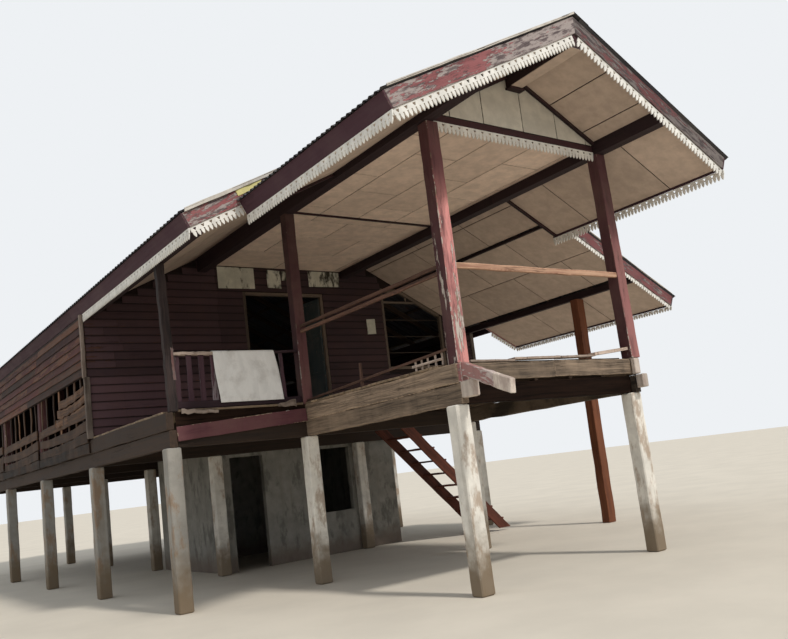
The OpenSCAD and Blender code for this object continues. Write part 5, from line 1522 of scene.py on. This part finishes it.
class HOUSE_OT_openings(bpy.types.Operator):
    """Fit the door frame and leaf, the window frames and their bars"""
    bl_idname = "house.openings"
    bl_label = "Door and windows"

    def surround(self, work, opening, y0, y1, across=X_AXIS, sill=True, w=0.058):
        """A frame of members in a wall that runs along X, or Y where across says so."""
        def spot(x, z):
            return (x, (y0 + y1) / 2, z) if across is X_AXIS else ((y0 + y1) / 2, x, z)

        x0, x1, z0, z1 = opening
        joinery = dict(edge=0.004, wander=0.0008)
        for x in (x0 + w / 2, x1 - w / 2):
            work.member(spot(x, z0), spot(x, z1), across, w, y1 - y0, **joinery)
        for z in (z1 - w / 2, z0 + w / 2)[:1 + sill]:
            work.member(spot(x0 + w, z), spot(x1 - w, z), Z_AXIS, w, y1 - y0, **joinery)

    def execute(self, context):
        y0, y1, w = WALL_FRONT - 0.012, WALL_FRONT + 0.058, 0.05
        mid, deep = (y0 + y1) / 2, y1 - y0
        door = Timbers(210)
        self.surround(door, DOOR, y0, y1, sill=False, w=w)
        door.member((0.72, WALL_FRONT + 0.01, Z_BOARD), (2.08, WALL_FRONT + 0.01, Z_BOARD),
                    Y_AXIS, 0.02, 0.024, cuts=4, edge=0.003, wander=0.0005)
        door.piece("door_surround", "jamb_timber", "weathered_wood", "door_frame")
        leaf = Timbers(211)
        hinge = Vector((2.075, WALL_FRONT + 0.065, 0))
        far = hinge + Vector((-0.10, 0.66, 0))
        for z0, z1 in ((2.26, 3.02), (3.06, 3.66), (3.70, 4.30)):
            leaf.slab([p + Vector((0, 0, z)) for p, z in (
                (hinge, z0), (hinge, z1), (far, z1), (far, z0))], 0.018, along=Z_AXIS)
        for p in (hinge, far):
            leaf.member(p + Vector((0, 0, 2.25)), p + Vector((0, 0, 4.31)), Y_AXIS, 0.07, 0.03,
                        wander=0.0006)
        for z in (2.28, 3.04, 3.68, 4.29):
            leaf.member(hinge + Vector((0, 0.03, z)), far + Vector((0, -0.03, z)), Z_AXIS,
                        0.06, 0.03, cuts=4, wander=0.0006)
        leaf.piece("door_leaf", "leaf_paint", "maroon_paint")
        windows = Timbers(212)
        x0, x1, z0, z1 = WINDOW
        left, right, bar, post = x0 + w, x1 - w, z0 + 1.245, 3.93
        bend = MAIN[0] + (MAIN[1] - z1) / TAN
        reach = min(right, MAIN[0] + (MAIN[1] - bar - 0.08) / TAN)
        for (xa, za), (xb, zb), across, wide, thick, cuts, edge, wander in (
                ((x0 + w / 2, z0), (x0 + w / 2, z1), X_AXIS, w, deep, 6, 0.004, 0.0008),
                ((x1 - w / 2, z0), (x1 - w / 2, roof_z(MAIN, x1) - 0.02), X_AXIS, w, deep, 6,
                 0.004, 0.0008),
                ((left, z0 + w / 2), (right, z0 + w / 2), Z_AXIS, w, deep, 6, 0.004, 0.0008),
                ((left, z1 - 0.036), (bend, z1 - 0.036), Z_AXIS, w, deep, 3, 0.004, 0.0005),
                ((bend, z1 - 0.04), (right, roof_z(MAIN, right) - 0.04), Z_AXIS, w, deep, 6,
                 0.004, 0.0005),
                ((left, bar), (reach, bar), Z_AXIS, 0.03, deep, 6, 0.003, 0.0008),
                ((post, bar + 0.016), (post, roof_z(MAIN, post) - 0.08), X_AXIS, 0.03, 0.03, 2,
                 0.003, 0.0005)):
            windows.member((xa, mid, za), (xb, mid, zb), across, wide, thick, cuts=cuts,
                           edge=edge, wander=wander)
        for z in (3.35, 3.65, 3.96):
            windows.member((left, mid + 0.012, z), (right, mid + 0.012, z), Z_AXIS, 0.012,
                           0.012, cuts=3, edge=0.002, wander=0.0006, tone=-1.3)
        self.surround(windows, BACK_WINDOW, WALL_BACK - 0.058, WALL_BACK + 0.012)
        self.surround(windows, RIGHT_WINDOW, WALL_RIGHT - 0.058, WALL_RIGHT + 0.012, Y_AXIS)
        bars = [((x, WALL_BACK - 0.01), X_AXIS, 3.18, 3.87)
                for x in spread(BACK_WINDOW[0] + 0.06, BACK_WINDOW[1] - 0.06, 0.13)[1:-1]]
        bars += [((WALL_RIGHT - 0.01, y), Y_AXIS, 2.78, 3.47)
                 for y in spread(RIGHT_WINDOW[0] + 0.06, RIGHT_WINDOW[1] - 0.06, 0.13)[1:-1]]
        for foot, across, z0, z1 in bars:
            windows.member((*foot, z0), (*foot, z1), across, 0.022, 0.016, cuts=2, edge=0.002,
                           wander=0.0005)
        windows.piece("window_surrounds", "frame_timber", "weathered_wood", "window_frames")
        papers, y = Timbers(213), WALL_FRONT - 0.036
        for a, b, c, d, lean in ((0.25, 0.88, 4.43, 4.79, 0.01), (1.11, 1.36, 4.47, 4.77, -0.01),
                                 (1.38, 1.53, 4.60, 4.76, 0.0), (1.89, 2.50, 4.51, 4.78, 0.015),
                                 (2.98, 3.16, 3.68, 3.95, 0.01)):
            papers.slab([(a, y, c), (b, y, c + lean), (b, y, d + lean), (a, y, d)], 0.003,
                        edge=0.0004)
        papers.piece("paper_sheets", "wall_paper", "white_sheet")
        return {"FINISHED"}


class HOUSE_OT_rails(bpy.types.Operator):
    """Build the porch rails and the veranda railing"""
    bl_idname = "house.rails"
    bl_label = "Rails"

    def execute(self, context):
        rails, y0, y1 = Timbers(220), 0.07, 2.93
        for a, b, across, wide, thick, cuts, edge, wander, tone in (
                ((0, y0, 3.124), (0, y1, 3.124), Z_AXIS, 0.036, 0.043, 12, 0.005, 0.0018, 1.1),
                ((0, y0, 3.192), (0, y1, 3.192), Z_AXIS, 0.036, 0.043, 12, 0.005, 0.0018, 0.0),
                ((-0.011, y0, 2.365), (-0.011, y1, 2.2475), Z_AXIS, 0.026, 0.02, 10, 0.004,
                 0.0016, 0.0),
                ((0, 1.67, 2.225), (0.004, 1.672, 2.5), X_AXIS, 0.03, 0.03, 4, 0.004, 0.001,
                 0.1)):
            rails.member(a, b, across, wide, thick, cuts=cuts, edge=edge, wander=wander,
                         tone=tone)
        rails.piece("porch_side_rails", "side_rail_timber", "weathered_wood", "porch_rails")
        Timbers(221).member(
            (0.14, -0.03, 3.19), (2.57, -0.055, 3.19), Z_AXIS, 0.06, 0.043, cuts=12, edge=0.006,
            tone=0.5).piece("front_rail", "rail_timber", "weathered_wood")
        stubs = Timbers(225)
        stubs.member((0.006, 0.175, 2.288), (0.006, 0.69, 2.284), Z_AXIS, 0.024, 0.02,
                     edge=0.003, wander=0.0015, tone=1.2)
        for y in (0.202, 0.313, 0.439, 0.546, 0.654):
            stubs.member((0.024, y, 2.224), (0.024, y + 0.004, 2.352), Y_AXIS, 0.022, 0.018,
                         cuts=3, edge=0.004, wander=0.001, tone=0.9)
        stubs.piece("low_rail_stubs", "pale_timber", "weathered_wood")
        veranda, y = Timbers(222), Y_VERANDA
        x0, x1, top = X_LEFT + POST / 2, -POST / 2, 2.88
        veranda.member((-1.17, y, top), (x1, y, top), Y_AXIS, 0.078, 0.028, cuts=12,
                       wander=0.003, tone=-0.2)
        veranda.member((x0, y - 0.02, 2.275), (x1, y - 0.02, 2.27), Z_AXIS, 0.085, 0.02,
                       cuts=12, wander=0.003, tone=-0.3)
        chance = np.random.default_rng(223)
        places = [x for x in spread(x0 + 0.055, x1 - 0.06, 0.15) if not -0.2 < x < -0.12]
        for i, x in enumerate(places):
            wide = 0.05 if x > -0.3 else chance.uniform(0.055, 0.075)
            veranda.member((x, y, 2.23), (x + chance.normal(0, 0.004), y, 2.864), X_AXIS, wide,
                           0.018, cuts=8, edge=0.003, wander=0.0018,
                           wear=chance.uniform(0.3, 0.7), tone=1.6 if i == 3 else None)
        veranda.piece("veranda_rail", "baluster_paint", "weathered_wood", "veranda_railing")
        pale, rough = Timbers(224), dict(edge=0.003, wander=0.005)
        pale.member((x0, y, 2.874), (-1.172, y, 2.868), Y_AXIS, 0.078, 0.036, cuts=12,
                    edge=0.006, wander=0.005, tone=0.7)
        pale.member((-1.64, 2.905, 2.195), (-1.2, 2.908, 2.18), Z_AXIS, 0.05, 0.014, cuts=12,
                    tone=0.0, taper=(1.1, 0.6), **rough)
        pale.member((-0.435, 2.905, 2.205), (-0.184, 2.908, 2.23), Z_AXIS, 0.09, 0.014,
                    tone=0.1, taper=(0.35, 1.0), **rough)
        pale.piece("pale_veranda_boards", "pale_timber", "weathered_wood")
        return {"FINISHED"}


class HOUSE_OT_cloths(bpy.types.Operator):
    """Hang the plain woven sack over the veranda's rail"""
    bl_idname = "house.cloths"
    bl_label = "Hung cloth"

    def execute(self, context):
        path = np.array([(3.052, 2.70), (3.050, 2.80), (3.046, 2.885), (3.030, 2.8985),
                         (3.0, 2.8995), (2.970, 2.8985), (2.954, 2.885), (2.952, 2.70),
                         (2.951, 2.48), (2.953, 2.28)])
        total = np.concatenate([[0], np.cumsum(np.hypot(*np.diff(path, axis=0).T))])
        across, down, thick = 60, 72, 0.002
        along = np.linspace(0, total[-1], down + 1)
        y, z = (np.interp(along, total, side) for side in path.T)
        ty, tz = np.gradient(y), np.gradient(z)
        size = np.hypot(ty, tz)
        ny, nz = tz / size, -ty / size
        random = np.random.default_rng(300)
        waves = [(random.uniform(5, 22), random.uniform(-7, 7), random.uniform(0, math.tau),
                  random.uniform(0.4, 1.0)) for _ in range(9)]
        points, local, faces = [], [], []
        for layer in (0, 1):
            for i, s in enumerate(along):
                free = min(1.0, max(0.0, (2.86 - z[i]) / 0.25))
                slant = min(1.0, max(0.0, (2.9 - z[i]) / 0.62))
                x0, x1 = -1.195 + 0.05 * slant, -0.40 + 0.085 * slant
                for j in range(across + 1):
                    x = x0 + (x1 - x0) * j / across
                    fold = sum(k * math.sin(a * x + b * s + c) for a, b, c, k in waves)
                    edge = 0.006 * math.sin(9 * s + 3 * j / across) if j in (0, across) else 0
                    out = 0.0032 * (0.15 + free) * (1 + fold / 6) + thick * layer
                    points.append(Vector((x + edge, y[i] + ny[i] * out, z[i] + nz[i] * out))
                                  + ORIGIN)
                    local.append((x - x0, s, 0.0))
        wide, count = across + 1, (across + 1) * (down + 1)
        for a in (i * wide + j for i in range(down) for j in range(across)):
            faces.append((a, a + wide, a + wide + 1, a + 1))
            a += count
            faces.append((a, a + 1, a + wide + 1, a + wide))
        rim = [*range(0, across), *range(across, count - 1, wide),
               *range(count - 1, count - wide, -1), *range(count - wide, 0, -wide)]
        faces += [(a, b, count + b, count + a) for a, b in zip(rim, rim[1:] + rim[:1])]
        sack = built("hung_sack", points, faces, local=local)
        sack.data.polygons.foreach_set("use_smooth", [True] * len(faces))
        face_outwards(sack.data)
        place_piece(sack, "sack_cloth")
        return {"FINISHED"}


class HOUSE_OT_stair(bpy.types.Operator):
    """Build the steep stair of the wing"""
    bl_idname = "house.stair"
    bl_label = "Stair"

    def execute(self, context):
        going, risers, stair_x, y0, y1 = 0.22, 10, X_B + BEAM / 2, 4.75, 5.5
        rise = Z_FLOOR / risers
        slope = rise / going
        top = Z_DECK - 0.03 - 0.18 * math.sqrt(1 + slope * slope) / 2
        sides, treads = Timbers(230), Timbers(231)
        for y in (y0 + 0.02, y1 - 0.02):
            a, b = Vector((stair_x, y, top)), Vector((stair_x + top / slope, y, 0.0))
            t = (b - a).normalized()
            sides.member(a, b - t * 0.06, (t.z, 0, -t.x), 0.176, 0.038, cuts=16, edge=0.006,
                         wander=0.0016, skew=(slope, -1 / slope))
        sides.piece("stair_sides", "stair_timber", "stair_wood", "stair_stringers")
        for i in range(1, risers):
            x, z = stair_x + going * (i - 0.5) + 0.01, Z_FLOOR - i * rise - 0.015
            treads.member((x, y0 + 0.041, z), (x, y1 - 0.041, z), X_AXIS, going + 0.016, 0.028,
                          wander=0.0014)
        treads.piece("stair_steps", "stair_timber", "stair_wood", "stair_treads")
        return {"FINISHED"}


class HOUSE_OT_room(bpy.types.Operator):
    """Plaster the room between the stilts"""
    bl_idname = "house.room"
    bl_label = "Ground room"

    def execute(self, context):
        finish_node(frame["nodes"]["room_walls"], "room_plaster")
        return {"FINISHED"}


class HOUSE_OT_stage(bpy.types.Operator):
    """Set the floor, the light and the camera"""
    bl_idname = "house.stage"
    bl_label = "Stage"

    def execute(self, context):
        scene, far = context.scene, 160.0
        floor = built("studio_floor", [(x, y, -0.002) for x, y in (
            (-far, -far), (far, -far), (far, far), (-far, far))], [(0, 1, 2, 3)])
        build = Finish("studio_floor")
        shade = tuple(scene.house_colours.floor)
        mottle = build.smooth(build.noise(build.place(), 0.9, 6.0, 0.6), 0.3, 0.7)
        base = build.mix(mottle, shaded(shade, 0.95), shaded(shade, 1.03))
        floor.data.materials.append(build.dress(base, 0.95, 0.1))
        scene.world = bpy.data.worlds.new("studio_sky")
        scene.world.use_nodes = True
        build = Nodes(scene.world.node_tree)
        build.tree.nodes.clear()
        seen = build.out("ShaderNodeLightPath", None, "Is Camera Ray")
        lit = build.add("ShaderNodeBackground", {"Color": srgb("#e6ecf2"), "Strength": 0.76})
        shown = build.add("ShaderNodeBackground", {"Color": srgb("#eef1f4"), "Strength": 1.0})
        both = build.add("ShaderNodeMixShader", {0: seen, 1: lit, 2: shown})
        build.add("ShaderNodeOutputWorld", {0: both})
        sun = bpy.data.lights.new("soft_sun", "SUN")
        sun.energy, sun.angle, sun.color = 2.1, math.radians(5), (1.0, 0.965, 0.91)
        lamp = linked("soft_sun", sun)
        lamp.rotation_mode = "QUATERNION"
        lamp.rotation_quaternion = Vector((-0.15, 1.0, -1.0)).to_track_quat("-Z", "Y")
        yaw, pitch, roll = (math.radians(a) for a in (38.06, 7.74, -7.066))
        ahead = Vector((math.sin(yaw) * math.cos(pitch), math.cos(yaw) * math.cos(pitch),
                        math.sin(pitch)))
        right = Vector((math.cos(yaw), -math.sin(yaw), 0))
        up = right.cross(ahead)
        tilted = right * math.cos(roll) + up * math.sin(roll)
        upright = up * math.cos(roll) - right * math.sin(roll)
        lens = bpy.data.cameras.new("photo_view")
        wide, sensor, focal, centre_x, centre_y = 788, 36.0, 819.15, 429.61, 352.23
        lens.sensor_width, lens.lens, lens.clip_end = sensor, focal / wide * sensor, 600
        lens.shift_x = (wide / 2 - centre_x) / wide
        lens.shift_y = (centre_y - 639 / 2) / wide
        scene.camera = linked("photo_view", lens)
        turn = Matrix((tilted, upright, -ahead)).transposed().to_4x4()
        eye = Vector((-5.0536, -6.0872, 1.2716)) + ORIGIN
        scene.camera.matrix_world = Matrix.Translation(eye) @ turn
        scene.view_settings.view_transform = "Standard"
        return {"FINISHED"}


OPERATORS = (HOUSE_OT_stage, HOUSE_OT_stilts, HOUSE_OT_floor_beams, HOUSE_OT_floors,
             HOUSE_OT_posts, HOUSE_OT_roof_timber, HOUSE_OT_ceilings, HOUSE_OT_roofing,
             HOUSE_OT_edge_boards, HOUSE_OT_fretwork, HOUSE_OT_walls, HOUSE_OT_parapet,
             HOUSE_OT_openings, HOUSE_OT_rails, HOUSE_OT_cloths, HOUSE_OT_stair,
             HOUSE_OT_room)


class HOUSE_PT_panel(bpy.types.Panel):
    """Lists the settings and the steps that build the house"""
    bl_idname = "HOUSE_PT_panel"
    bl_label = "Stilt house"
    bl_space_type = "VIEW_3D"
    bl_region_type = "UI"
    bl_category = "Stilt house"

    def draw(self, context):
        for title, group in (("Sizes", context.scene.house_sizes),
                             ("Colours", context.scene.house_colours)):
            box = self.layout.box()
            box.label(text=title)
            for name in type(group).__annotations__:
                box.prop(group, name)
        column = self.layout.column()
        for step in OPERATORS:
            column.operator(step.bl_idname)


CLASSES = (HouseSizes, HouseColours, *OPERATORS, HOUSE_PT_panel)


def register():
    for item in CLASSES:
        bpy.utils.register_class(item)
    bpy.types.Scene.house_sizes = PointerProperty(type=HouseSizes)
    bpy.types.Scene.house_colours = PointerProperty(type=HouseColours)


def unregister():
    del bpy.types.Scene.house_colours
    del bpy.types.Scene.house_sizes
    for item in reversed(CLASSES):
        bpy.utils.unregister_class(item)


def main():
    register()
    for step in OPERATORS:
        group, name = step.bl_idname.split(".")
        getattr(getattr(bpy.ops, group), name)()


if __name__ == "__main__":
    main()
